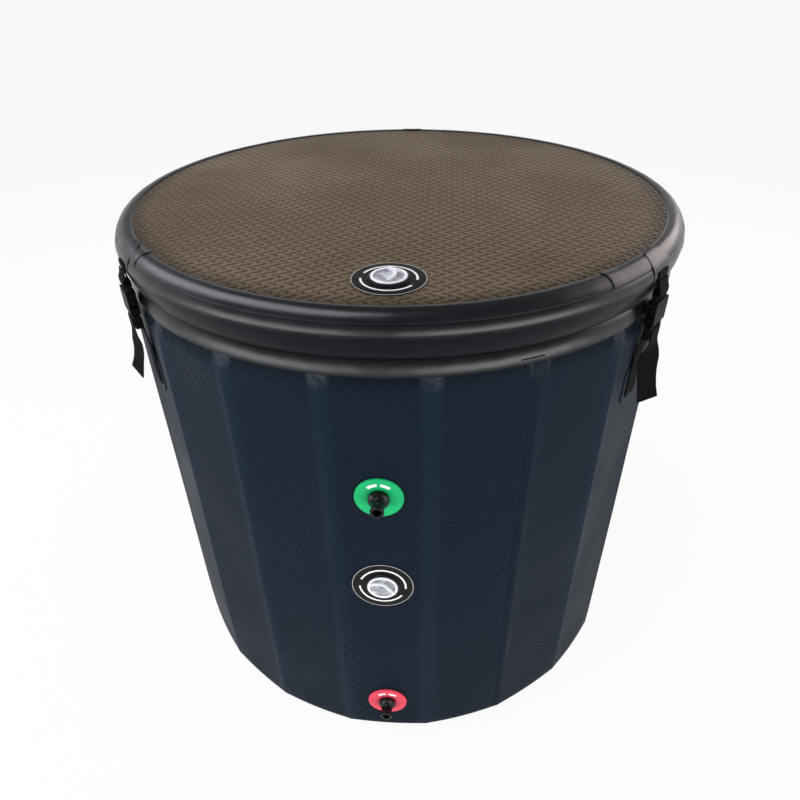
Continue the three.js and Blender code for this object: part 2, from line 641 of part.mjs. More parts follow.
/** An inflation valve: sprung stem, twist cap and clamp nut, about local +Z out of the skin. */
function inflationValve(name, capTurn = 0) {
  const throatOuter = VALVE_THROAT_RADIUS + VALVE_THROAT_WALL;
  const socketFloor = -VALVE_SOCKET_DEPTH;
  const bodyProfile = [
    [VALVE_SOCKET_RADIUS, VALVE_FLANGE_TOP],
    [VALVE_FLANGE_RADIUS - VALVE_EDGE, VALVE_FLANGE_TOP],
    [VALVE_FLANGE_RADIUS, VALVE_FLANGE_TOP - VALVE_EDGE],
    [VALVE_FLANGE_RADIUS, VALVE_FLANGE_BOTTOM],
    [VALVE_NECK_RADIUS, VALVE_FLANGE_BOTTOM],
    [VALVE_NECK_RADIUS, -VALVE_NECK_DEPTH],
    [throatOuter, -VALVE_NECK_DEPTH],
    [throatOuter, -VALVE_THROAT_DEPTH],
    [VALVE_THROAT_RADIUS, -VALVE_THROAT_DEPTH],
    [VALVE_THROAT_RADIUS, socketFloor],
    [VALVE_SOCKET_RADIUS, socketFloor],
  ];
  const hubBottom = -VALVE_THROAT_DEPTH + VALVE_HUB_RISE;
  const hubTop = hubBottom + VALVE_HUB_HEIGHT;
  const hub = washer(VALVE_STEM_RADIUS + FIT_GAP, VALVE_HUB_RADIUS, hubBottom, hubTop, STEM_FLATS);
  const spokeInner = (VALVE_STEM_RADIUS + VALVE_HUB_RADIUS) / 2;
  const spokeOuter = VALVE_THROAT_RADIUS + VALVE_THROAT_WALL / 2;
  const spokes = Array.from({ length: VALVE_SPOKES }, (_, i) => {
    const spoke = new THREE.BoxGeometry(spokeOuter - spokeInner, VALVE_SPOKE_WIDTH, VALVE_HUB_HEIGHT);
    spoke.translate((spokeInner + spokeOuter) / 2, 0, (hubBottom + hubTop) / 2);
    return spoke.rotateZ((i * 2 * Math.PI) / VALVE_SPOKES);
  });
  const body = join([turned(bodyProfile, SMALL_FLATS), hub, ...spokes]);

  const discRadius = VALVE_THROAT_RADIUS + VALVE_DISC_OVERLAP;
  const buttonBottom = VALVE_BUTTON_TOP - VALVE_BUTTON_HEIGHT;
  const stemProfile = [
    [0, VALVE_BUTTON_TOP],
    [VALVE_BUTTON_RADIUS, VALVE_BUTTON_TOP],
    [VALVE_BUTTON_RADIUS, buttonBottom],
    [VALVE_STEM_RADIUS, buttonBottom],
    [VALVE_STEM_RADIUS, VALVE_DISC_TOP],
    [discRadius, VALVE_DISC_TOP],
    [discRadius, VALVE_DISC_TOP - VALVE_DISC_THICKNESS],
    [0, VALVE_DISC_TOP - VALVE_DISC_THICKNESS],
  ];

  const springSeat = SPRING_WIRE_RADIUS + FIT_GAP;
  const [springBottom, springTop] = [hubTop + springSeat, buttonBottom - springSeat];
  const line = new SpringLine(SPRING_COIL_RADIUS, springBottom, springTop, SPRING_TURNS);
  const wire = new THREE.Shape().absarc(0, 0, SPRING_WIRE_RADIUS, 0, 2 * Math.PI);
  const steps = SPRING_STEPS * SPRING_TURNS;
  const wound = { steps, extrudePath: line, bevelEnabled: false, curveSegments: 2 };
  const spring = new THREE.ExtrudeGeometry(wire, wound);
  console.log(`${name}_spring least gap ${line.leastGap(SPRING_WIRE_RADIUS).toFixed(2)} mm`);

  const nutTop = -SKIN_THICKNESS - FIT_GAP;
  const neckHole = VALVE_NECK_RADIUS + FIT_GAP;
  const nut = washer(neckHole, VALVE_NUT_RADIUS, nutTop - VALVE_NUT_HEIGHT, nutTop, SMALL_FLATS);
  const labelTop = FIT_GAP + VALVE_LABEL_THICKNESS;
  const label = washer(neckHole, VALVE_LABEL_RADIUS, FIT_GAP, labelTop, LABEL_FLATS);
  const sealBottom = socketFloor + FIT_GAP;
  const sealTop = sealBottom + CAP_SEAL_THICKNESS;
  const skirtOuter = CAP_SKIRT_RADIUS;
  const seal = washer(skirtOuter - CAP_SKIRT_WALL, skirtOuter, sealBottom, sealTop, SMALL_FLATS);
  const cap = piece(`${name}_cap`, valveCap(sealTop + FIT_GAP), "valve");
  cap.rotation.z = THREE.MathUtils.degToRad(capTurn);

  return [
    piece(`${name}_label_disc`, label, "label"),
    piece(`${name}_body`, body, "valve"),
    piece(`${name}_clamp_nut`, nut, "fitting"),
    piece(`${name}_stem`, turned(stemProfile, STEM_FLATS), "valve"),
    piece(`${name}_spring`, spring, "steel"),
    piece(`${name}_cap_seal`, seal, "rubber"),
    cap,
  ];
}

/** The valve's plug cap: a dish with a flat rim and an S-shaped finger rib across it. */
function valveCap(skirtBottom) {
  const skirtOuter = CAP_SKIRT_RADIUS;
  const skirtInner = skirtOuter - CAP_SKIRT_WALL;
  const underside = VALVE_FLANGE_TOP + FIT_GAP;
  const rimTop = underside + CAP_RIM_HEIGHT;
  const floorTop = rimTop - CAP_DISH_DEPTH;
  const floorBottom = floorTop - CAP_FLOOR_THICKNESS;
  const dish = CAP_RADIUS - CAP_RIM_WIDTH;
  const profile = [
    [0, floorTop],
    [dish - CAP_DISH_SLOPE, floorTop],
    [dish, rimTop],
    [CAP_RADIUS - VALVE_EDGE, rimTop],
    [CAP_RADIUS, rimTop - VALVE_EDGE],
    [CAP_RADIUS, underside],
    [skirtOuter, underside],
    [skirtOuter, skirtBottom],
    [skirtInner, skirtBottom],
    [skirtInner, floorBottom],
    [0, floorBottom],
  ];
  const bow = dish / 2;
  const ribLine = new THREE.Path();
  ribLine.moveTo(-bow / 2, dish - CAP_RIB_WIDTH / 2);
  ribLine.bezierCurveTo(bow, bow, -bow, -bow, bow / 2, CAP_RIB_WIDTH / 2 - dish);
  const ribBottom = (floorTop + floorBottom) / 2;
  const ribTop = rimTop + CAP_RIB_RISE;
  const rib = band(ribLine, CAP_RIB_WIDTH, ribTop - ribBottom, CAP_RIB_STEPS);
  rib.translate(0, 0, (ribTop + ribBottom) / 2);
  return join([turned(profile, SMALL_FLATS), rib]);
}

/** A path of webbing in the radius-height plane, laid as a band across a strap's facet. */
function webbing(path, divisions) {
  const toFacet = new THREE.Matrix4().makeBasis(
    new THREE.Vector3(0, -1, 0),
    new THREE.Vector3(0, 0, 1),
    new THREE.Vector3(-1, 0, 0),
  );
  return band(path, WEBBING_THICKNESS, WEBBING_WIDTH, divisions).applyMatrix4(toFacet);
}

/** The wall strap: up from its patch, over the plug's bar and down again as a free tail. */
function wallStrapPath(slotHeight, tailLength) {
  const half = WEBBING_THICKNESS / 2;
  const onPatch = FACET_APOTHEM + STRAP_PATCH_THICKNESS + 2 * FIT_GAP + half;
  const back = BUCKLE_RADIUS - PLUG_THICKNESS / 2 - WEBBING_SLACK - half;
  const front = BUCKLE_RADIUS + PLUG_THICKNESS / 2 + WEBBING_SLACK + half;
  const patchMiddle = SEAM_HEIGHT - STRAP_PATCH_DROP;
  const lift = patchMiddle + STRAP_PATCH_HEIGHT / 2;
  const turnHeight = slotHeight - WEBBING_TURN;
  const path = new THREE.Path();
  path.moveTo(onPatch, patchMiddle - STRAP_PATCH_HEIGHT / 3);
  path.lineTo(onPatch, lift);
  const sway = (lift + turnHeight) / 2;
  path.bezierCurveTo(onPatch, sway, back, sway, back, turnHeight - PLUG_RUNG);
  path.lineTo(back, turnHeight);
  path.quadraticCurveTo(back, slotHeight, back + WEBBING_TURN, slotHeight);
  path.lineTo(front - WEBBING_TURN, slotHeight);
  path.quadraticCurveTo(front, slotHeight, front, turnHeight);
  path.lineTo(front, slotHeight - PLUG_LENGTH);
  const end = slotHeight - tailLength;
  const bend = (slotHeight - PLUG_LENGTH + end) / 2;
  path.bezierCurveTo(front, bend, front, bend, front + TAIL_FLARE, end);
  return path;
}

/** The lid strap: down the lid's edge, through the socket's slot and back up on itself. */
function lidStrapPath(slotHeight, barTop) {
  const half = WEBBING_THICKNESS / 2;
  const onPatch = LID_EDGE_RADIUS + STRAP_PATCH_THICKNESS + 2 * FIT_GAP + half;
  const leave = Math.asin((LID_MIDDLE - barTop) / onPatch / 3);
  const inner = BUCKLE_RADIUS - BAR_THICKNESS / 2 - WEBBING_SLACK - half;
  const outer = BUCKLE_RADIUS + BAR_THICKNESS / 2 + WEBBING_SLACK + half;
  const turnHeight = slotHeight + WEBBING_TURN;
  const leaveRadius = LID_EDGE_CENTRE + onPatch * Math.cos(leave);
  const leaveHeight = LID_MIDDLE - onPatch * Math.sin(leave);
  const start = THREE.MathUtils.degToRad(LID_STRAP_ANGLE);
  const path = new THREE.Path();
  path.absarc(LID_EDGE_CENTRE, LID_MIDDLE, onPatch, start, -leave, true);
  path.bezierCurveTo(leaveRadius, leaveHeight - WEBBING_EASE, inner, barTop + WEBBING_EASE, inner, barTop);
  path.lineTo(inner, turnHeight);
  path.quadraticCurveTo(inner, slotHeight, inner + WEBBING_TURN, slotHeight);
  path.lineTo(outer - WEBBING_TURN, slotHeight);
  path.quadraticCurveTo(outer, slotHeight, outer, turnHeight);
  path.lineTo(outer, barTop);
  const onStrap = leaveRadius + WEBBING_THICKNESS + FIT_GAP + WEBBING_SLACK;
  const end = leaveHeight + WEBBING_EASE / 2;
  path.bezierCurveTo(outer, barTop + WEBBING_EASE, onStrap, end - 2 * WEBBING_EASE, onStrap, end);
  return path;
}

/** The buckle's socket half: a flat box open below, with side windows and a strap bar above. */
function buckleSocket() {
  const half = BUCKLE_WIDTH / 2;
  const shoulder = half - SOCKET_SIDE_WALL;
  const outline = new THREE.Shape();
  outline.moveTo(-half, 0);
  outline.lineTo(half, 0);
  outline.lineTo(half, WINDOW_START + WINDOW_LENGTH);
  outline.quadraticCurveTo(half, SOCKET_LENGTH, shoulder, SOCKET_LENGTH);
  outline.lineTo(-shoulder, SOCKET_LENGTH);
  outline.quadraticCurveTo(-half, SOCKET_LENGTH, -half, WINDOW_START + WINDOW_LENGTH);
  outline.closePath();
  const housing = plate(outline, SOCKET_THICKNESS);

  const frameWidth = BUCKLE_WIDTH - 2 * BAR_FRAME_INSET;
  const frameHeight = BAR_FRAME_LENGTH + SOCKET_WALL;
  const frameMiddle = SOCKET_LENGTH + BAR_FRAME_LENGTH - frameHeight / 2;
  const frame = roundedRectangle(0, frameMiddle, frameWidth, frameHeight, BUCKLE_CORNER);
  const slotTop = SOCKET_LENGTH + BAR_FRAME_LENGTH - BAR_WIDTH;
  frame.holes.push(strapSlot(slotTop - STRAP_SLOT_HEIGHT / 2));

  const gap = SOCKET_THICKNESS - 2 * SOCKET_WALL;
  const cavity = new THREE.BoxGeometry(BUCKLE_WIDTH - 2 * SOCKET_SIDE_WALL, 2 * SOCKET_DEPTH, gap);
  const windows = new THREE.BoxGeometry(2 * BUCKLE_WIDTH, WINDOW_LENGTH, gap);
  windows.translate(0, WINDOW_START + WINDOW_LENGTH / 2, 0);
  return cut(join([housing, plate(frame, BAR_THICKNESS)]), [cavity, windows]);
}

/** A slot that webbing passes through, centred on a height in the buckle's plane. */
function strapSlot(height) {
  const right = WEBBING_WIDTH / 2 + STRAP_SLOT_MARGIN;
  const top = height + STRAP_SLOT_HEIGHT / 2;
  const bottom = height - STRAP_SLOT_HEIGHT / 2;
  const corners = [[-right, bottom], [right, bottom], [right, top], [-right, top]];
  return new THREE.Path(corners.map(([x, y]) => new THREE.Vector2(x, y)));
}

/** The buckle's plug half: a ladder frame for the strap and a tongue that guides it in. */
function bucklePlug() {
  const top = -ARM_PLAY;
  const frame = roundedRectangle(0, top - PLUG_LENGTH / 2, BUCKLE_WIDTH, PLUG_LENGTH, BUCKLE_CORNER);
  for (const slot of plugSlots()) frame.holes.push(strapSlot(slot));
  const tongue = new THREE.Shape();
  const half = TONGUE_WIDTH / 2;
  tongue.moveTo(-half, top - PLUG_RUNG / 2);
  tongue.lineTo(half, top - PLUG_RUNG / 2);
  tongue.lineTo(half, TONGUE_LENGTH - half);
  tongue.quadraticCurveTo(half, TONGUE_LENGTH, 0, TONGUE_LENGTH);
  tongue.quadraticCurveTo(-half, TONGUE_LENGTH, -half, TONGUE_LENGTH - half);
  tongue.closePath();
  const slim = SOCKET_THICKNESS - 2 * SOCKET_WALL - 2 * ARM_PLAY;
  return join([plate(frame, PLUG_THICKNESS), plate(tongue, slim)]);
}

/** Heights of the plug's upper and lower strap slots in the buckle's plane. */
function plugSlots() {
  const upper = -ARM_PLAY - PLUG_RUNG - STRAP_SLOT_HEIGHT / 2;
  return [upper, upper - STRAP_SLOT_HEIGHT - PLUG_RUNG];
}

/** A springy side arm of the plug, with the pad that is pressed through the window. */
function buckleArm(side) {
  const reach = BUCKLE_WIDTH / 2 - SOCKET_SIDE_WALL - ARM_PLAY;
  const inner = reach - ARM_PAD_WIDTH;
  const root = inner + ARM_ROOT_WIDTH;
  const padEnd = ARM_PAD_START + ARM_PAD_LENGTH;
  const arm = new THREE.Shape();
  arm.moveTo(inner - ARM_PLAY, 0);
  arm.lineTo(root, 0);
  arm.quadraticCurveTo(root, ARM_PAD_START / 2, reach, ARM_PAD_START);
  arm.lineTo(reach, padEnd);
  arm.quadraticCurveTo(reach - ARM_TIP_EASE, ARM_LENGTH, inner + ARM_TIP_EASE, ARM_LENGTH);
  arm.lineTo(inner, padEnd);
  arm.closePath();
  const slim = SOCKET_THICKNESS - 2 * SOCKET_WALL - 2 * ARM_PLAY;
  return plate(arm, slim).scale(side, 1, 1);
}

/** The patch that holds a lid strap: it wraps the lid's edge and ends in a half round on top. */
function lidPatch() {
  const near = LID_EDGE_RADIUS + FIT_GAP;
  const far = near + STRAP_PATCH_THICKNESS;
  const start = LID_EDGE_CENTRE - LID_PATCH_REACH;
  const wrap = [90, 70, 50, LID_CREASE_ANGLE, 5, -20];
  const section = allRound([
    [start, LID_MIDDLE + far],
    ...arc(LID_EDGE_CENTRE, LID_MIDDLE, far, wrap),
    ...arc(LID_EDGE_CENTRE, LID_MIDDLE, near, wrap.toReversed()),
    [start, LID_MIDDLE + near],
  ]);
  const halfAngle = STRAP_PATCH_WIDTH / 2 / LID_RADIUS;
  const wrapPiece = solid(ring(section, [-halfAngle, 0, halfAngle], false));
  const halfRound = rod(STRAP_PATCH_WIDTH / 2, LID_BOTTOM, LID_TOP + LID_THICKNESS, LARGE_FLATS);
  halfRound.translate(0, -start - STRAP_PATCH_WIDTH / 2, 0);
  return surface(wrapPiece.intersect(solid(halfRound)));
}

/** One lid strap with its patches, webbing and buckle. */
function strapSet({ name, facet, tail }) {
  const azimuth = facet * FACET_ANGLE;
  const upperSlot = BUCKLE_MOUTH + plugSlots()[0];
  const barTop = BUCKLE_MOUTH + SOCKET_LENGTH + BAR_FRAME_LENGTH;
  const socketSlot = barTop - BAR_WIDTH - STRAP_SLOT_HEIGHT / 2;

  const soft = new THREE.Group();
  soft.rotation.z = azimuth;
  soft.add(
    piece(`${name}_wall_strap`, webbing(wallStrapPath(upperSlot, tail), WALL_STRAP_STEPS), "webbing"),
    piece(`${name}_lid_strap`, webbing(lidStrapPath(socketSlot, barTop), LID_STRAP_STEPS), "webbing"),
    piece(`${name}_lid_strap_patch`, lidPatch(), "tape"),
  );

  const patchPlace = FACET_APOTHEM + FIT_GAP + STRAP_PATCH_THICKNESS / 2;
  const patch = outFrom(azimuth, patchPlace, SEAM_HEIGHT - STRAP_PATCH_DROP);
  const outline = roundedRectangle(0, 0, STRAP_PATCH_WIDTH, STRAP_PATCH_HEIGHT, STRAP_PATCH_CORNER);
  patch.add(piece(`${name}_wall_strap_patch`, plate(outline, STRAP_PATCH_THICKNESS), "wall"));

  const buckle = outFrom(azimuth, BUCKLE_RADIUS, BUCKLE_MOUTH);
  buckle.add(
    piece(`${name}_buckle_socket`, buckleSocket(), "buckle"),
    piece(`${name}_buckle_plug`, bucklePlug(), "buckle"),
    piece(`${name}_buckle_arm_a`, buckleArm(-1), "buckle"),
    piece(`${name}_buckle_arm_b`, buckleArm(1), "buckle"),
  );
  return [soft, patch, buckle];
}

const tub = new THREE.Group();
tub.add(...tubShell());
tub.add(hosePort("upper_port", UPPER_PORT_HEIGHT, "green"));
tub.add(hosePort("lower_port", LOWER_PORT_HEIGHT, "red"));
tub.add(outFrom(0, FACET_APOTHEM, WALL_VALVE_HEIGHT).add(...inflationValve("wall_valve", WALL_CAP_TURN)));
tub.add(...lidShell());
const lidValve = new THREE.Group().add(...inflationValve("lid_valve"));
lidValve.position.copy(lidValvePlace());
tub.add(lidValve);
for (const strap of STRAPS) tub.add(...strapSet(strap));

export default tub;
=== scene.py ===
"""Looks of a round inflatable cold plunge tub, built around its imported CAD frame.

Every length is in metres, in the frame of the CAD model: +Z up, the water ports face -Y,
and an azimuth is turned from -Y towards +X.
"""

import logging
import math
from dataclasses import dataclass, field
from enum import Enum
from typing import Callable, Iterable, Sequence, Tuple

import bmesh
import bpy
from mathutils import Matrix, Vector


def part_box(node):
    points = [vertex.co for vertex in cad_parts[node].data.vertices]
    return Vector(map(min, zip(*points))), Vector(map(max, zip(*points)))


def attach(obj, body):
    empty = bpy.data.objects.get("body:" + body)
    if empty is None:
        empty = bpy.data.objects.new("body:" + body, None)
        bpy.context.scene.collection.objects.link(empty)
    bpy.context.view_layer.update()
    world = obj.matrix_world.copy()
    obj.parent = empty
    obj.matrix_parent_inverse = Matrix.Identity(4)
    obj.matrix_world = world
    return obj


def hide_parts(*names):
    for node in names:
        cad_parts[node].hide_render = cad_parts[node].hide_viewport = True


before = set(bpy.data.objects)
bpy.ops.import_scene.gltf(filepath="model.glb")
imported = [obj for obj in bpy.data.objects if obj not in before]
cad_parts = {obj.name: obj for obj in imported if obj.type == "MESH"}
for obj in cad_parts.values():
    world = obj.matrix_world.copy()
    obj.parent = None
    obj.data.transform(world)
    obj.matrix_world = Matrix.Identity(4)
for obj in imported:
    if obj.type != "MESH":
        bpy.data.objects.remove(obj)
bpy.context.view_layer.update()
LOG = logging.getLogger("plunge_tub")

Piece = bpy.types.Object
Material = bpy.types.Material
Socket = bpy.types.NodeSocket
Pair = Tuple[float, float]
Row = Callable[[float], Pair]
Colour = Tuple[float, float, float]
Size = Tuple[float, float, float]

FIT_GAP = 0.0003
SKIN = 0.0015
FINE_STATIONS = 480
ROUND_STATIONS = 96
SMOOTH_ANGLE = math.radians(38)
DRILL_DEPTH = 0.03


class Body(str, Enum):
    """The moving bodies that pieces ride on."""

    TUB = "tub"
    LID = "lid"


class Slot(str, Enum):
    """Names of material slots, passed along with each piece."""

    WALL = "wall"
    TAPE = "tape"
    PANEL = "panel"
    LABEL = "label"
    VALVE = "valve"
    GREEN = "green"
    RED = "red"
    FITTING = "fitting"
    RUBBER = "rubber"
    WEBBING = "webbing"
    BUCKLE = "buckle"


class Layout(Enum):
    """How an embossed pattern lies on a surface."""

    ROUND_WALL = "round the wall"
    FLAT = "flat across the lid"


def smooth_step(low: float, high: float, value: float) -> float:
    """Goes smoothly from 0 at low to 1 at high."""
    share = min(max((value - low) / (high - low), 0.0), 1.0)
    return share * share * (3.0 - 2.0 * share)


def arc(centre: Pair, radius: float, angles: Iterable[float]) -> list[Pair]:
    """Points of an arc in the radius-height plane.

    Args:
        centre: The arc's centre as radius and height.
        radius: The arc's own radius.
        angles: The angles of the points in degrees, from outwards towards up.

    Returns:
        The points as radius and height.
    """
    turns = [math.radians(angle) for angle in angles]
    return [(centre[0] + radius * math.cos(t), centre[1] + radius * math.sin(t)) for t in turns]


def span(start: float, stop: float, count: int) -> list[float]:
    """Evenly spaced values from start to stop, both included."""
    return [start + (stop - start) * i / (count - 1) for i in range(count)]


def curve(controls: Sequence[Pair], count: int) -> list[Pair]:
    """Points of a cubic Bezier curve.

    Args:
        controls: The curve's four control points.
        count: How many points to give.

    Returns:
        The points, without the curve's first one.
    """
    points = []
    for t in span(0.0, 1.0, count + 1)[1:]:
        s = 1.0 - t
        weights = (s * s * s, 3 * s * s * t, 3 * s * t * t, t * t * t)
        points.append(tuple(sum(w * p[k] for w, p in zip(weights, controls)) for k in (0, 1)))
    return points


def at_azimuth(azimuth: float, radius: float, height: float) -> Vector:
    """The point at an azimuth, a radius and a height."""
    return Vector((radius * math.sin(azimuth), -radius * math.cos(azimuth), height))


def middle_of(node: str) -> Tuple[float, ...]:
    """The middle of a CAD node's box."""
    low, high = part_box(node)
    return tuple((low[k] + high[k]) / 2 for k in range(3))


def begin(primitive: Callable[..., set], **size: object) -> Piece:
    """Adds a primitive with nothing else selected and opens it in edit mode.

    Args:
        primitive: The operator that adds it.
        **size: The operator's own settings.

    Returns:
        The new object.
    """
    bpy.ops.object.select_all(action="DESELECT")
    primitive(**size)
    bpy.ops.object.mode_set(mode="EDIT")
    return bpy.context.object


def only(piece: Piece) -> None:
    """Makes a piece the one selected, active object.

    Args:
        piece: The piece to select.
    """
    bpy.ops.object.select_all(action="DESELECT")
    piece.select_set(True)
    bpy.context.view_layer.objects.active = piece


def place_selected(piece: Piece, row: Row) -> None:
    """Puts each selected vertex at the radius and height that a row gives for its azimuth.

    Args:
        piece: The object in edit mode.
        row: The radius and height for every azimuth.
    """
    mesh = bmesh.from_edit_mesh(piece.data)
    for vert in mesh.verts:
        if vert.select:
            azimuth = math.atan2(vert.co.x, -vert.co.y)
            vert.co = at_azimuth(azimuth, *row(azimuth))
    bmesh.update_edit_mesh(piece.data)


def select_verts(piece: Piece, wanted: Callable[[int], bool]) -> None:
    """Selects the wanted vertices.

    Args:
        piece: The object in edit mode.
        wanted: Whether a vertex is wanted, by its number.
    """
    bpy.ops.mesh.select_mode(type="VERT")
    bpy.ops.mesh.select_all(action="DESELECT")
    mesh = bmesh.from_edit_mesh(piece.data)
    mesh.verts.ensure_lookup_table()
    for number, vert in enumerate(mesh.verts):
        vert.select = wanted(number)
    mesh.select_flush(True)
    bmesh.update_edit_mesh(piece.data)


def finish_mesh(piece: Piece, name: str, place: Matrix | None = None) -> Piece:
    """Turns the faces outwards, leaves edit mode, and puts the piece in its place.

    Args:
        piece: The object in edit mode.
        name: The finished piece's name.
        place: Where the piece goes, if it was not modelled in place.

    Returns:
        The piece, at the origin with its place in its mesh.
    """
    bpy.ops.mesh.select_all(action="SELECT")
    bpy.ops.mesh.normals_make_consistent(inside=False)
    bpy.ops.object.mode_set(mode="OBJECT")
    only(piece)
    piece.name = name
    piece.data.name = name
    if place is not None:
        piece.matrix_world = place
        bpy.ops.object.transform_apply(location=True, rotation=True, scale=True)
    bpy.ops.object.shade_smooth_by_angle(angle=SMOOTH_ANGLE)
    return piece


def fixed(pairs: Iterable[Pair]) -> list[Row]:
    """Rows that are the same all round."""
    return [lambda azimuth, pair=pair: pair for pair in pairs]


def revolve(
    name: str,
    rows: Sequence[Row],
    stations: int = ROUND_STATIONS,
    closed: bool = True,
    place: Matrix | None = None,
) -> Piece:
    """Carries a section round the Z axis, one extruded row after another.

    Args:
        name: The piece's name.
        rows: The section's points, each a radius and height for every azimuth.
        stations: How many points go round.
        closed: Whether the last row joins the first. If not, both ends get a flat face.
        place: Where the piece goes, if its axis isn't the tub's.

    Returns:
        The finished piece.
    """
    piece = begin(bpy.ops.mesh.primitive_circle_add, vertices=stations, radius=1.0)
    place_selected(piece, rows[0])
    for row in rows[1:]:
        bpy.ops.mesh.extrude_region()
        place_selected(piece, row)
    last = stations * (len(rows) - 1)
    if closed:
        select_verts(piece, lambda number: number < stations or number >= last)
        bpy.ops.mesh.bridge_edge_loops()
    else:
        bpy.ops.mesh.edge_face_add()
        select_verts(piece, lambda number: number < stations)
        bpy.ops.mesh.edge_face_add()
    return finish_mesh(piece, name, place)


def laid_sheet(
    name: str,
    across: int,
    along: int,
    at: Callable[[float, float], Vector],
    thickness: float,
    edge: float,
) -> Piece:
    """Lays a grid over a surface and gives it a thickness with soft edges.

    Args:
        name: The piece's name.
        across: How many faces it has across.
        along: How many faces it has along.
        at: The place for a share across and a share along, both from 0 to 1.
        thickness: The sheet's thickness, half to each side.
        edge: How far its edges are rounded.

    Returns:
        The finished piece.
    """
    piece = begin(bpy.ops.mesh.primitive_grid_add, x_subdivisions=across, y_subdivisions=along, size=2.0)
    mesh = bmesh.from_edit_mesh(piece.data)
    for vert in mesh.verts:
        vert.co = at((vert.co.x + 1.0) / 2.0, (vert.co.y + 1.0) / 2.0)
    bmesh.update_edit_mesh(piece.data)
    finish_mesh(piece, name)
    solidify = piece.modifiers.new("thickness", "SOLIDIFY")
    solidify.thickness = thickness
    solidify.offset = 0.0
    bpy.ops.object.modifier_apply(modifier=solidify.name)
    soften(piece, edge)
    return piece


def soften(piece: Piece, width: float, segments: int = 2) -> None:
    """Rounds a piece's sharp edges.

    Args:
        piece: What is rounded.
        width: How far the edges are rounded.
        segments: How many faces go round an edge.
    """
    only(piece)
    bevel = piece.modifiers.new("edges", "BEVEL")
    bevel.width = width
    bevel.segments = segments
    bevel.limit_method = "ANGLE"
    bevel.angle_limit = SMOOTH_ANGLE
    bpy.ops.object.modifier_apply(modifier=bevel.name)
    bpy.ops.object.shade_smooth_by_angle(angle=SMOOTH_ANGLE)


def bore(piece: Piece, holes: Iterable[Tuple[Matrix, float, float]]) -> None:
    """Drills round holes through a piece.

    Args:
        piece: What is drilled.
        holes: The place, radius and depth of each hole, drilled along its own Z axis.
    """
    for place, radius, depth in holes:
        drill = begin(bpy.ops.mesh.primitive_cylinder_add, vertices=64, radius=radius, depth=depth)
        finish_mesh(drill, "drill", place)
        only(piece)
        cut = piece.modifiers.new("hole", "BOOLEAN")
        cut.operation = "DIFFERENCE"
        cut.object = drill
        bpy.ops.object.modifier_apply(modifier=cut.name)
        bpy.data.objects.remove(drill)
    bpy.ops.object.shade_smooth_by_angle(angle=SMOOTH_ANGLE)


def refined(node: str, name: str, edge: float) -> Piece:
    """A copy of a CAD node with its flat faces joined and its edges rounded.

    Args:
        node: The CAD node's name.
        name: The new piece's name.
        edge: How far the edges are rounded.

    Returns:
        The finished piece.
    """
    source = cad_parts[node]
    piece = bpy.data.objects.new(name, source.data.copy())
    bpy.context.scene.collection.objects.link(piece)
    only(piece)
    bpy.ops.object.mode_set(mode="EDIT")
    bpy.ops.mesh.select_all(action="SELECT")
    bpy.ops.mesh.remove_doubles(threshold=1e-6)
    bpy.ops.mesh.dissolve_limited(angle_limit=math.radians(1.0))
    finish_mesh(piece, name)
    soften(piece, edge)
    return piece


def out_of_wall(azimuth: float, radius: float, height: float) -> Matrix:
    """A place whose Z axis points out of the wall, with Y up."""
    turn = Matrix.Rotation(azimuth, 4, "Z") @ Matrix.Rotation(math.pi / 2, 4, "X")
    return Matrix.Translation(at_azimuth(azimuth, radius, height)) @ turn


def shade(colour: Colour, factor: float, lift: float = 0.0) -> Colour:
    """A colour made paler or darker by a factor, and lifted a little."""
    return tuple(min(c * factor + lift, 1.0) for c in colour)


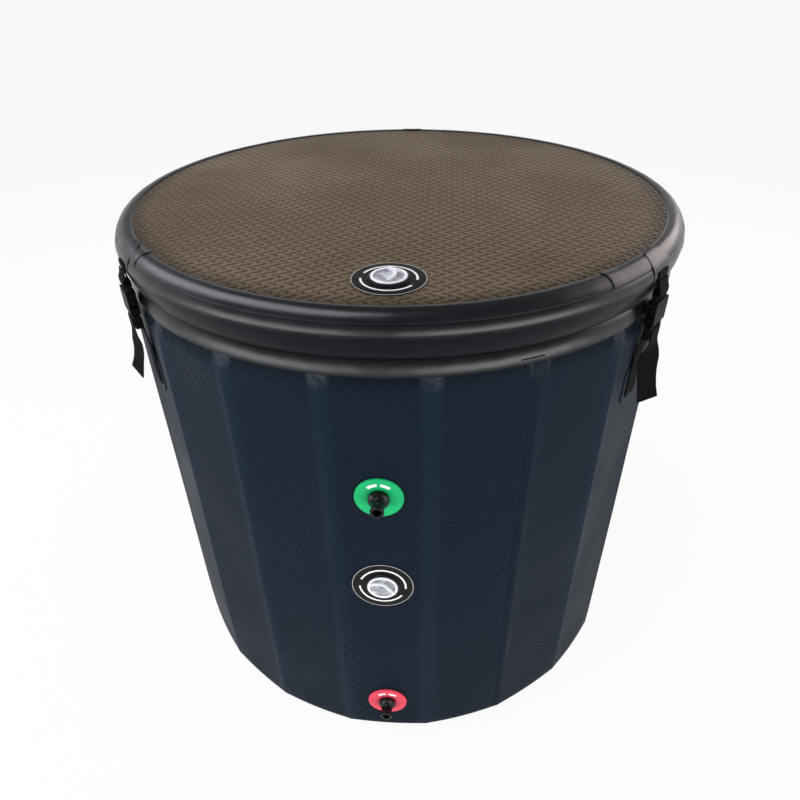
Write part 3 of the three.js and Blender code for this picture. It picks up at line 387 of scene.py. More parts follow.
class NodeBook:
    """Adds and joins the shader nodes of one material."""

    def __init__(self, name: str) -> None:
        """Starts an empty material with a principled surface.

        Args:
            name: The material's name.
        """
        self.material = bpy.data.materials.new(name)
        self.material.use_nodes = True
        self.tree = self.material.node_tree
        self.surface = self.tree.nodes["Principled BSDF"]

    def join(self, value: object, socket: Socket) -> None:
        """Links an output to an input, or gives the input a value.

        Args:
            value: An output socket, a number or a colour.
            socket: The input.
        """
        if isinstance(value, Socket):
            self.tree.links.new(value, socket)
        elif socket.type == "RGBA" and len(value) == 3:
            socket.default_value = (*value, 1.0)
        else:
            socket.default_value = value

    def add(self, kind: str, inputs: dict | None = None, **settings: object) -> bpy.types.Node:
        """Adds a node.

        Args:
            kind: The node's type without the ShaderNode prefix.
            inputs: Values or output sockets for its inputs, by name or number.
            **settings: The node's own properties.

        Returns:
            The new node.
        """
        node = self.tree.nodes.new("ShaderNode" + kind)
        for key, value in settings.items():
            setattr(node, key, value)
        for key, value in (inputs or {}).items():
            self.join(value, node.inputs[key])
        return node

    def math(self, operation: str, *values: object) -> Socket:
        """The result of a Math node on numbers or sockets."""
        return self.add("Math", dict(enumerate(values)), operation=operation).outputs[0]

    def place(self) -> Socket:
        """The object's own coordinates."""
        return self.add("TexCoord").outputs["Object"]

    def noise(self, scale: float, detail: float, where: Socket | None = None) -> Socket:
        """A grey noise pattern of a scale."""
        inputs = {"Vector": where or self.place(), "Scale": scale, "Detail": detail}
        return self.add("TexNoise", inputs).outputs["Fac"]

    def ramp(self, value: Socket, low: float, high: float, start: float = 0.0, end: float = 1.0) -> Socket:
        """A value carried smoothly from the range low to high into the range start to end."""
        inputs = {"Value": value, "From Min": low, "From Max": high, "To Min": start, "To Max": end}
        return self.add("MapRange", inputs, interpolation_type="SMOOTHSTEP").outputs["Result"]

    def blend(self, factor: object, first: object, second: object) -> Socket:
        """Two colours mixed by a factor, through the colour sockets of a Mix node."""
        return self.add("Mix", {0: factor, 6: first, 7: second}, data_type="RGBA").outputs[2]

    def set(self, **inputs: object) -> None:
        """Sets or joins inputs of the surface, with spaces in their names written as underscores."""
        for key, value in inputs.items():
            self.join(value, self.surface.inputs[key.replace("_", " ")])

    def bump(self, height: Socket, distance: float, strength: float, under: Socket | None = None) -> Socket:
        """A bumped normal.

        Args:
            height: The pattern that stands up.
            distance: How far it stands up.
            strength: How strongly it shows.
            under: Another bumped normal that it lies on.

        Returns:
            The socket with the normal.
        """
        inputs = {"Height": height, "Distance": distance, "Strength": strength}
        if under is not None:
            inputs["Normal"] = under
        return self.add("Bump", inputs).outputs["Normal"]


@dataclass(frozen=True)
class EmbossedSkin:
    """Coated fabric with an embossed tread of short slanted strokes and a pebbled grain, with painted shade
    in its hollows and towards its welded edge, and a painted highlight along the wall's ridges.
    """

    name: str
    colour: Colour
    # The darker colour: painted shade in the tread's hollows and at the welded edge, and the dark end of the
    # random tone patches.
    groove: Colour
    layout: Layout
    roughness: float
    depth: float
    shine: float = 0.25
    shine_tint: Colour = (1.0, 1.0, 1.0)
    weld: float = 10.0
    weld_shine: float = 0.2
    weld_reach: float = 0.026
    # How strongly the ridges between facets are painted paler, as a painted highlight.
    ridge_highlight: float = 0.0
    pitch: Pair = (0.0169, 0.0194)
    wrap_radius: float = 0.394
    facets: int = 20

    def pattern_place(self, book: NodeBook) -> Socket:
        """Coordinates that lie in the surface.

        Args:
            book: The material being made.

        Returns:
            The socket with the flat coordinates.
        """
        place = book.place()
        if self.layout is Layout.FLAT:
            return place
        split = book.add("SeparateXYZ", {"Vector": place})
        back = book.math("MULTIPLY", split.outputs["Y"], -1.0)
        angle = book.math("ARCTAN2", split.outputs["X"], back)
        around = book.math("MULTIPLY", angle, self.wrap_radius)
        return book.add("CombineXYZ", {"X": around, "Y": split.outputs["Z"]}).outputs["Vector"]

    def tread(self, book: NodeBook, place: Socket) -> Socket:
        """Short strokes that lean left and right by turns, from about -1 in the hollows to 1.

        Args:
            book: The material being made.
            place: The flat coordinates.

        Returns:
            The socket with the pattern's height.
        """
        drift = book.noise(90.0, 2.0, place)
        split = book.add("SeparateXYZ", {"Vector": place})
        sideways, upwards = book.math("MULTIPLY", drift, 0.9), book.math("MULTIPLY", drift, 0.7)
        across = book.math("MULTIPLY_ADD", split.outputs["X"], math.tau / self.pitch[0], sideways)
        along = book.math("MULTIPLY_ADD", split.outputs["Y"], math.tau / self.pitch[1], upwards)
        double = book.math("MULTIPLY", along, 2.0)
        checks = book.math("MULTIPLY", book.math("COSINE", across), book.math("COSINE", along))
        leans = book.math("MULTIPLY", book.math("SINE", across), book.math("SINE", double))
        columns = book.math("COSINE", book.math("MULTIPLY_ADD", across, 2.0, 0.9))
        height = book.math("MULTIPLY_ADD", leans, -0.46, book.math("MULTIPLY", checks, 0.54))
        return book.math("MULTIPLY_ADD", columns, 0.2, height)

    def weld_share(self, book: NodeBook, place: Socket) -> Socket:
        """How near the skin is to its welded edge, a radius on the lid and a height on the wall, where
        painted shade darkens it.

        Args:
            book: The material being made.
            place: The flat coordinates.

        Returns:
            The socket with 0 away from the edge and 1 at it.
        """
        along = (1.0, 1.0, 0.0) if self.layout is Layout.FLAT else (0.0, 1.0, 0.0)
        kept = book.add("VectorMath", {0: place, 1: along}, operation="MULTIPLY").outputs["Vector"]
        reach = book.add("VectorMath", {0: kept}, operation="LENGTH").outputs["Value"]
        return book.ramp(reach, self.weld - self.weld_reach, self.weld)

    def ridge_share(self, book: NodeBook, place: Socket) -> Socket:
        """How near the wall's skin is to a ridge between two facets, where it is drawn smooth and painted
        paler as a painted highlight.

        Args:
            book: The material being made.
            place: The flat coordinates.

        Returns:
            The socket with 0 away from the ridges and 1 on them.
        """
        around = book.add("SeparateXYZ", {"Vector": place}).outputs["X"]
        turns = book.math("MULTIPLY", around, self.facets / self.wrap_radius)
        return book.ramp(book.math("COSINE", turns), -0.65, -1.0)

    def build(self) -> Material:
        """Makes the material.

        Returns:
            The finished material.
        """
        book = NodeBook(self.name)
        place = self.pattern_place(book)
        weld = self.weld_share(book, place)
        ridge = self.ridge_share(book, place)
        tread = self.tread(book, place)
        # Noise patches where the hollows keep their full colour, without the painted shade.
        unshaded_patches = book.ramp(book.noise(24.0, 3.0), 0.35, 0.75, 0.0, 0.3)
        raised = book.math("MAXIMUM", book.ramp(tread, -0.7, 0.15), unshaded_patches)
        patches = book.noise(5.0, 4.0)
        tint = book.blend(book.ramp(patches, 0.3, 0.75, 0.0, 0.35), self.colour, self.groove)
        # Painted shade: the tread's hollows are painted darker than its raised strokes.
        print_and_hollow_shade = book.blend(raised, self.groove, tint)
        # Painted highlight: the skin is painted paler along the ridges between facets.
        ridge_highlight = book.blend(book.math("MULTIPLY", ridge, self.ridge_highlight), print_and_hollow_shade, shade(self.colour, 3.0))
        # Painted shade: the skin is painted darker towards its welded edge.
        edge_shaded = book.blend(book.math("MULTIPLY", weld, 0.6), ridge_highlight, shade(self.groove, 0.4))
        rough = book.ramp(patches, 0.25, 0.8, self.roughness - 0.05, self.roughness + 0.08)
        drawn = book.math("MULTIPLY", weld, ridge)
        shine = book.ramp(drawn, 0.0, 1.0, self.shine, self.weld_shine)
        book.set(Base_Color=edge_shaded, Roughness=rough, Specular_IOR_Level=shine, Specular_Tint=self.shine_tint)
        grain = book.bump(book.noise(420.0, 3.0), 0.0003, 0.5)
        book.set(Normal=book.bump(book.ramp(tread, -0.8, 0.7), self.depth, 1.0, grain))
        return book.material


@dataclass(frozen=True)
class GlossTape:
    """Smooth coated tape with a soft shine, duller underneath, with faint dust and shallow ripples."""

    name: str
    colour: Colour
    roughness: float = 0.3
    ripple: float = 0.0006
    shine: float = 0.32
    dull_below: float = 0.35

    def build(self) -> Material:
        """Makes the material.

        Returns:
            The finished material.
        """
        book = NodeBook(self.name)
        cloud = book.noise(7.0, 4.0)
        dust = book.noise(60.0, 5.0)
        paler = shade(self.colour, 1.5, 0.001)
        book.set(Base_Color=book.blend(book.ramp(dust, 0.45, 0.85, 0.0, 0.6), self.colour, paler))
        book.set(Roughness=book.ramp(cloud, 0.25, 0.8, self.roughness - 0.05, self.roughness + 0.1))
        grain = book.bump(book.noise(700.0, 2.0), 0.00006, 0.4)
        book.set(Normal=book.bump(book.noise(22.0, 2.0), self.ripple, 0.5, grain))
        normal = book.add("NewGeometry").outputs["Normal"]
        facing = book.add("SeparateXYZ", {"Vector": normal}).outputs["Z"]
        book.set(Specular_IOR_Level=book.ramp(facing, -0.15, 0.15, self.shine * self.dull_below, self.shine))
        return book.material


@dataclass(frozen=True)
class MouldedPlastic:
    """Moulded plastic with a fine spark-eroded grain and slight handling marks."""

    name: str
    colour: Colour
    roughness: float
    grain: float = 0.00004
    shine: float = 0.5
    mark_scale: float = 40.0
    mark_tint: float = 1.3

    def build(self) -> Material:
        """Makes the material.

        Returns:
            The finished material.
        """
        book = NodeBook(self.name)
        marks = book.noise(self.mark_scale, 5.0)
        paler = shade(self.colour, self.mark_tint, 0.002)
        book.set(Base_Color=book.blend(book.ramp(marks, 0.4, 0.8, 0.0, 0.5), self.colour, paler))
        book.set(Roughness=book.ramp(marks, 0.3, 0.75, self.roughness - 0.05, self.roughness + 0.09))
        book.set(Normal=book.bump(book.noise(1600.0, 2.0), self.grain, 0.6))
        book.set(Specular_IOR_Level=self.shine)
        return book.material


@dataclass(frozen=True)
class WovenWebbing:
    """Black polyester webbing: a herringbone of slanted yarns along the strap."""

    name: str
    colour: Colour
    yarn: float = 0.0011
    rib: float = 0.0042

    def build(self) -> Material:
        """Makes the material.

        Returns:
            The finished material.
        """
        book = NodeBook(self.name)
        flat = book.add("UVMap", uv_map="UVMap").outputs["UV"]
        split = book.add("SeparateXYZ", {"Vector": flat})
        zigzag = book.math("PINGPONG", split.outputs["X"], self.rib)
        slanted = book.math("ADD", split.outputs["Y"], zigzag)
        yarns = book.math("SINE", book.math("MULTIPLY", slanted, math.tau / self.yarn))
        ribs = book.math("SINE", book.math("MULTIPLY", split.outputs["X"], math.tau / self.rib))
        weave = book.math("ADD", book.math("MULTIPLY", yarns, 0.35), book.math("MULTIPLY", ribs, 0.15))
        raised = book.ramp(weave, -0.5, 0.5)
        # Painted highlight and shade: the raised yarns are painted paler than the hollows between them.
        paler = shade(self.colour, 2.2, 0.001)
        book.set(Base_Color=book.blend(raised, self.colour, paler), Roughness=0.8, Specular_IOR_Level=0.06)
        book.set(Normal=book.bump(raised, 0.0003, 0.9))
        return book.material


@dataclass(frozen=True)
class PrintedArc:
    """A printed arc round a disc's middle, with its radii and its ends in degrees."""

    inner: float
    outer: float
    start: float
    end: float
    strength: float = 1.0

    def cover(self, book: NodeBook, radius: Socket, angle: Socket) -> Socket:
        """How strongly the arc is printed at a point.

        Args:
            book: The material being made.
            radius: The point's distance from the middle.
            angle: The point's angle in degrees.

        Returns:
            The socket with 0 off the arc and its strength on it.
        """
        edges = [(radius, self.inner, self.outer)]
        if self.end - self.start < 360.0:
            edges.append((angle, self.start, self.end))
        share = self.strength
        for place, low, high in edges:
            past_low = book.math("GREATER_THAN", place, low)
            before_high = book.math("LESS_THAN", place, high)
            share = book.math("MULTIPLY", share, book.math("MULTIPLY", past_low, before_high))
        return share


@dataclass(frozen=True)
class PrintedDisc:
    """A plain disc with printed arcs round its middle."""

    name: str
    colour: Colour
    ink: Colour
    place: Matrix
    arcs: Tuple[PrintedArc, ...]
    roughness: float = 0.4
    shine: float = 0.12

    def build(self) -> Material:
        """Makes the material.

        Returns:
            The finished material.
        """
        book = NodeBook(self.name)
        home = self.place.inverted()
        mapping = {"Vector": book.place(), "Rotation": home.to_euler(), "Location": home.to_translation()}
        local = book.add("Mapping", mapping, vector_type="POINT").outputs["Vector"]
        split = book.add("SeparateXYZ", {"Vector": local})
        across, up = split.outputs["X"], split.outputs["Y"]
        squares = book.math("ADD", book.math("MULTIPLY", across, across), book.math("MULTIPLY", up, up))
        radius = book.math("SQRT", squares)
        angle = book.math("DEGREES", book.math("ARCTAN2", up, across))
        ink = 0.0
        for print_and_hollow_shade in self.arcs:
            ink = book.math("MAXIMUM", ink, print_and_hollow_shade.cover(book, radius, angle))
        marks = book.noise(50.0, 4.0)
        paler = shade(self.colour, 1.25, 0.004)
        ground = book.blend(book.ramp(marks, 0.4, 0.8, 0.0, 0.5), self.colour, paler)
        book.set(Base_Color=book.blend(ink, ground, self.ink))
        book.set(Roughness=book.ramp(marks, 0.3, 0.8, self.roughness - 0.05, self.roughness + 0.1))
        book.set(Normal=book.bump(book.noise(1200.0, 2.0), 0.00003, 0.5), Specular_IOR_Level=self.shine)
        return book.material


@dataclass(frozen=True)
class SpringSteel:
    """Drawn steel wire with a fine, uneven polish."""

    name: str
    colour: Colour = (0.55, 0.56, 0.58)
    polish: Pair = (0.25, 0.45)

    def build(self) -> Material:
        """Makes the material.

        Returns:
            The finished material.
        """
        book = NodeBook(self.name)
        rough = book.ramp(book.noise(400.0, 3.0), 0.3, 0.8, *self.polish)
        book.set(Base_Color=self.colour, Metallic=1.0, Roughness=rough)
        return book.material


@dataclass
class Palette:
    """The finishes that the pieces share."""

    wall: Material = field(init=False)
    underside: Material = field(init=False)
    lid_panel: Material = field(init=False)
    tape: Material = field(init=False)
    strip: Material = field(init=False)
    valve: Material = field(init=False)
    valve_dish_shade: Material = field(init=False)
    fitting: Material = field(init=False)
    rubber: Material = field(init=False)
    buckle: Material = field(init=False)
    webbing: Material = field(init=False)
    steel: Material = field(init=False)

    def __post_init__(self) -> None:
        """Makes every shared material."""
        # Each groove colour is the painted shade in the tread's hollows and the dark end of its random tone
        # patches.
        navy = {"colour": (0.0062, 0.0114, 0.0196), "groove": (0.0050, 0.0092, 0.0160)}
        navy |= {"roughness": 0.44, "depth": 0.0005, "shine": 0.03, "shine_tint": (0.75, 0.88, 1.0)}
        brown = {"colour": (0.118, 0.083, 0.050), "groove": (0.042, 0.029, 0.017)}
        brown |= {"roughness": 0.46, "depth": 0.0018, "shine": 0.11, "shine_tint": (1.0, 0.90, 0.76)}
        # The wall's skin is painted darker towards its welded top, as painted shade, and paler along its
        # ridges, as a painted highlight.
        edge = {"weld": 0.684, "weld_shine": 0.22, "ridge_highlight": 0.15}
        self.wall = EmbossedSkin("embossed_wall", layout=Layout.ROUND_WALL, **navy, **edge).build()
        self.underside = EmbossedSkin("embossed_underside", layout=Layout.FLAT, **navy).build()
        # The lid's panel is painted darker towards its welded edge, as painted shade.
        edge = {"weld": 0.374, "weld_shine": 0.11}
        self.lid_panel = EmbossedSkin("embossed_lid", layout=Layout.FLAT, **brown, **edge).build()
        gloss = {"roughness": 0.32, "ripple": 0.0004, "shine": 0.40, "dull_below": 0.18}
        self.tape = GlossTape("gloss_tape", (0.0034, 0.0040, 0.0060), **gloss).build()
        satin = {"roughness": 0.42, "ripple": 0.0003, "shine": 0.04}
        self.strip = GlossTape("smooth_strip", (0.0058, 0.0106, 0.0182), **satin).build()
        self.valve = MouldedPlastic("valve_plastic", (0.74, 0.75, 0.79), 0.22, grain=0.00002).build()
        # The cap's dish is a darker copy of the cap's plastic: painted shade in its recess, with strong pale
        # mottling as painted reflections.
        mottled = {"grain": 0.0003, "shine": 0.6, "mark_scale": 95.0, "mark_tint": 5.0}
        self.valve_dish_shade = MouldedPlastic("valve_dish_shade", (0.21, 0.22, 0.25), 0.18, **mottled).build()
        self.fitting = MouldedPlastic("black_fitting", (0.0035, 0.0035, 0.0040), 0.28, shine=0.22).build()
        rubbery = {"grain": 0.00008, "shine": 0.3}
        self.rubber = MouldedPlastic("black_rubber", (0.010, 0.010, 0.011), 0.7, **rubbery).build()
        self.buckle = MouldedPlastic("buckle_plastic", (0.0018, 0.0018, 0.0021), 0.42, shine=0.03).build()
        self.webbing = WovenWebbing("woven_webbing", (0.0026, 0.0026, 0.0030)).build()
        self.steel = SpringSteel("spring_steel").build()


def dress(piece: Piece, finish: Material, body: Body | str, slot: Slot, *nodes: str) -> None:
    """Gives a new piece its finish and its place in the frame.

    Args:
        piece: The finished mesh.
        finish: Its material.
        body: The body that it rides on.
        slot: A material slot; not used.
        *nodes: The CAD nodes that it stands for.
    """
    piece.data.materials.clear()
    piece.data.materials.append(finish)
    for face in piece.data.polygons:
        face.material_index = 0
    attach(piece, body)
    if nodes:
        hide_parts(*nodes)
    LOG.info("%s rides on %s", piece.name, body)


def paint(node: str, finish: Material) -> None:
    """Gives a CAD node that stays in view its finish.

    Args:
        node: The CAD node's name.
        finish: Its material.
    """
    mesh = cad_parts[node].data
    mesh.materials.clear()
    mesh.materials.append(finish)
    LOG.info("%s keeps its shape", node)


@dataclass
class TubWall:
    """The faceted wall, its rim, liner, floor and closing strip."""

    palette: Palette
    facets: int = 20
    facet_depth: float = 0.0024
    ridge_width: float = 0.018
    ridge_swell: float = 0.0016
    fade: float = 0.05
    thickness: float = 0.054
    base_bend: float = 0.008
    foot_height: float = 0.07
    foot_swell: float = 0.002
    foot_roundness: float = 0.6
    foot_rows: Tuple[float, ...] = (0.022, 0.036, 0.052)
    weld_rows: float = 0.036
    liner_foot: float = 0.025
    liner_rows: Tuple[float, ...] = (0.4, 0.2, 0.02)
    floor_reach: float = 0.35
    floor_edge: float = 0.0004
    port_hole: float = 0.0088
    valve_hole: float = 0.0198
    strip_ridge: float = 27.0
    slit_azimuths: Pair = (23.2, 27.4)
    slit_angle: float = 10.0
    slit_width: float = 3.0
    rim_end: float = -5.0
    rim_wave: float = 0.0003
    weld_tuck: float = 0.0030
    tuck_height: float = 0.022
    puff: float = 0.0026
    puff_size: Pair = (0.013, 0.009)
    puff_drop: float = 0.013
    pucker: float = 0.0005
    pucker_height: float = 0.012
    sway: float = 0.0005

    def __post_init__(self) -> None:
        """Reads the wall's main sizes from the frame."""
        self.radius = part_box("wall_rim_tape")[1][0]
        self.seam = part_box("wall_outer_skin")[1][2]
        self.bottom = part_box("wall_outer_skin")[0][2]
        self.rim_centre = self.radius - self.thickness / 2, self.seam + FIT_GAP
        self.weld = self.seam + self.thickness / 2 * math.sin(math.radians(self.rim_end))
        self.apothem = self.radius - self.facet_depth
        self.facet_angle = math.tau / self.facets
        half = math.tan(self.facet_angle / 2) - self.ridge_width / 2 / self.apothem
        self.ridge_start = math.atan(half)

    def facet_radius(self, azimuth: float) -> float:
        """The outline's radius: flat facets with rounded ridges between them.

        Args:
            azimuth: Where round the wall.

        Returns:
            The radius there.
        """
        turn = abs(azimuth - round(azimuth / self.facet_angle) * self.facet_angle)
        if turn <= self.ridge_start:
            return self.apothem / math.cos(turn)
        start = self.apothem / math.cos(self.ridge_start)
        width = self.facet_angle / 2 - self.ridge_start
        share = (turn - self.ridge_start) / width
        slope = start * math.tan(self.ridge_start)
        swell = self.ridge_swell * share * share * (2 - share)
        return start + slope * width * (share - share * share / 2) + swell

    def outer_radius(self, azimuth: float, height: float) -> float:
        """The skin's radius, faceted below and round at the weld, with soft hollows and puckers.

        Args:
            azimuth: Where round the wall.
            height: How far up the wall.

        Returns:
            The radius there.
        """
        roundness = smooth_step(self.weld - self.fade, self.weld, height)
        foot = self.foot_roundness * (1 - smooth_step(0.0, self.foot_height, height))
        faceted = self.facet_radius(azimuth) * (1 - foot) + (self.radius + self.foot_swell) * foot
        below = self.weld - height
        drawn_in = self.weld_tuck * (1 - smooth_step(0.0, self.tuck_height, below))
        to_ridge = abs(azimuth / self.facet_angle % 1.0 - 0.5) * self.facet_angle * self.radius
        wide, high = self.puff_size
        puff = self.puff * math.exp(-((to_ridge / wide) ** 2) - ((below - self.puff_drop) / high) ** 2)
        radius = faceted * (1 - roundness) + self.radius * roundness - drawn_in + puff
        gathers = math.sin(97 * azimuth) * math.sin(31 * azimuth + 1.0)
        gathers *= math.exp(-below / self.pucker_height)
        hollows = math.sin(3 * azimuth + 9 * height) * math.sin(7 * azimuth - 6 * height) * (1 - roundness)
        return radius + self.pucker * gathers + self.sway * hollows

    def row(self, inset: float, height: float) -> Row:
        """A row of the skin's section at a height, some way in from the outside."""
        return lambda azimuth: (self.outer_radius(azimuth, height) - inset, height)

    def front_holes(self) -> list[Tuple[Matrix, float]]:
        """Where the wall is drilled for the two ports and then the valve.

        Returns:
            The place and radius of each hole.
        """
        sizes = {"upper_port_hose_tail": self.port_hole, "lower_port_hose_tail": self.port_hole}
        sizes["wall_valve_body"] = self.valve_hole
        return [(out_of_wall(0.0, self.apothem, middle_of(node)[2]), size) for node, size in sizes.items()]

    def build_skin(self) -> None:
        """Models the outer skin with its bent foot."""
        bend = self.bottom + self.base_bend
        bent = arc((self.base_bend, bend), self.base_bend, (270, 252, 234, 216, 198))
        heights = [bend, *self.foot_rows, *span(self.foot_height, self.weld - self.fade, 9)]
        heights += span(self.weld - self.weld_rows, self.weld, 10)
        outside = [self.row(inset, height) for inset, height in bent]
        outside += [self.row(0.0, height) for height in heights]
        inside = [self.row(SKIN, height) for height in reversed(heights[::3])]
        inside += [self.row(self.base_bend, self.bottom + SKIN)]
        skin = revolve("wall_skin", outside + inside, FINE_STATIONS)
        bore(skin, [(place, radius, DRILL_DEPTH) for place, radius in self.front_holes()])
        dress(skin, self.palette.wall, Body.TUB, Slot.WALL, "wall_outer_skin", "wall_air_core")

    def rim_place(self, azimuth: float, angle: float, lift: float = 0.0) -> Pair:
        """A point of the rim tape's outside, with faint waves along it.

        Args:
            azimuth: Where round the rim.
            angle: Where on the rim's half-round section, in degrees.
            lift: How far above the tape.

        Returns:
            The point's radius and height.
        """
        (radius, height), = arc(self.rim_centre, self.thickness / 2 + lift, [angle])
        waves = math.sin(61 * azimuth) * math.sin(23 * azimuth) * math.exp(-((angle / 40) ** 2))
        return radius + self.rim_wave * waves, height

    def rim_row(self, angle: float) -> Row:
        """A row of the rim tape's outside."""
        return lambda azimuth: self.rim_place(azimuth, angle)

    def build_rim(self) -> None:
        """Models the rim tape, whose lower edge stands proud of the skin."""
        angles = [self.rim_end, -4, 0, 6, 12, 18, 24, 31, 40, 52, 66, 80, 90, 104, 120, 138, 156, 172, 180]
        outside = [self.rim_row(angle) for angle in angles]
        back = [180, 150, 120, 90, 60, 30, 8, self.rim_end]
        inner = fixed(arc(self.rim_centre, self.thickness / 2 - SKIN, back))
        rim = revolve("rim_tape", outside + inner, FINE_STATIONS)
        dress(rim, self.palette.tape, Body.TUB, Slot.TAPE, "wall_rim_tape")

    def build_slit(self) -> None:
        """Lays a thin black sheet on the rim as painted shade of the short gap that the rim tape's end
        leaves.
        """
        low, high = (math.radians(a) for a in self.slit_azimuths)

        def at(across: float, along: float) -> Vector:
            """The gap's point.

            Args:
                across: The share across, from 0 to 1.
                along: The share along, from 0 to 1.

            Returns:
                The point in the frame.
            """
            azimuth = low + (high - low) * along
            angle = self.slit_angle + self.slit_width * (across - 0.5)
            return at_azimuth(azimuth, *self.rim_place(azimuth, angle, lift=0.0001))

        # Painted shade: a thin black sheet laid on the rim where the tape's end leaves only a shaded gap.
        slit = laid_sheet("rim_tape_gap_shade", 3, 20, at, thickness=0.0005, edge=0.0001)
        dress(slit, self.palette.buckle, Body.TUB, Slot.BUCKLE)

    def liner_row(self, outset: float, height: float) -> Row:
        """A row of the liner's section.

        Args:
            outset: How far behind the liner's face.
            height: How far up the wall.

        Returns:
            The radius and height for every azimuth.
        """
        face = self.radius - self.thickness
        scale = face * math.cos(self.ridge_start) / self.apothem
        roundness = smooth_step(self.seam - self.fade, self.seam, height)

        def place(azimuth: float) -> Pair:
            """The row's radius and height at an azimuth."""
            faceted = min(self.facet_radius(azimuth) * scale, face)
            return faceted * (1 - roundness) + face * roundness + outset, height

        return place

    def build_liner(self) -> None:
        """Models the inner liner with its turned-in foot and drilled ports."""
        foot = self.bottom + SKIN
        heights = [*span(self.seam, self.seam - self.fade, 6), *self.liner_rows, foot]
        foot_inner = self.radius - self.thickness - self.liner_foot
        rows = [self.liner_row(SKIN, height) for height in (self.bottom, self.seam)]
        rows += [self.liner_row(0.0, height) for height in heights]
        rows += fixed([(foot_inner, foot), (foot_inner, self.bottom)])
        liner = revolve("inner_liner", rows, FINE_STATIONS)
        inwards = Matrix.Translation((0, 0, -self.thickness))
        bore(liner, [(place @ inwards, radius, DRILL_DEPTH) for place, radius in self.front_holes()[:2]])
        dress(liner, self.palette.wall, Body.TUB, Slot.WALL, "wall_inner_liner")

    def build_base(self) -> None:
        """Models the floor sheet with its welded edge."""
        low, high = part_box("base_sheet")
        bottom, top, reach, edge = low[2], high[2], self.floor_reach, self.floor_edge

        def row(inset: float, height: float) -> Row:
            """A row of the sheet at a distance inside the wall's foot."""
            return lambda azimuth: (self.outer_radius(azimuth, 0.0) - self.base_bend - inset, height)

        shape = [(reach, bottom), (0.0, bottom + edge), (0.0, top - edge), (reach, top)]
        floor = revolve("floor_sheet", [row(*point) for point in shape], FINE_STATIONS, closed=False)
        dress(floor, self.palette.underside, Body.TUB, Slot.WALL, "base_sheet")

    def build_strip(self) -> None:
        """Models the smooth strip that closes the wall on one ridge."""
        low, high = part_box("wall_seam_strip")
        half = self.facet_angle / 2 - self.ridge_start
        middle = math.radians(self.strip_ridge)

        def at(across: float, along: float) -> Vector:
            """The strip's point.

            Args:
                across: The share across, from 0 to 1.
                along: The share along, from 0 to 1.

            Returns:
                The point in the frame.
            """
            azimuth = middle + half * (2 * across - 1)
            height = low[2] + (high[2] - low[2]) * along
            return at_azimuth(azimuth, self.outer_radius(azimuth, height) + FIT_GAP, height)

        strip = laid_sheet("closing_strip", 12, 48, at, thickness=0.0007, edge=0.0002)
        dress(strip, self.palette.strip, Body.TUB, Slot.TAPE, "wall_seam_strip")

    def build(self) -> None:
        """Builds every piece of the wall."""
        self.build_skin()
        self.build_rim()
        self.build_slit()
        self.build_liner()
        self.build_base()
        self.build_strip()


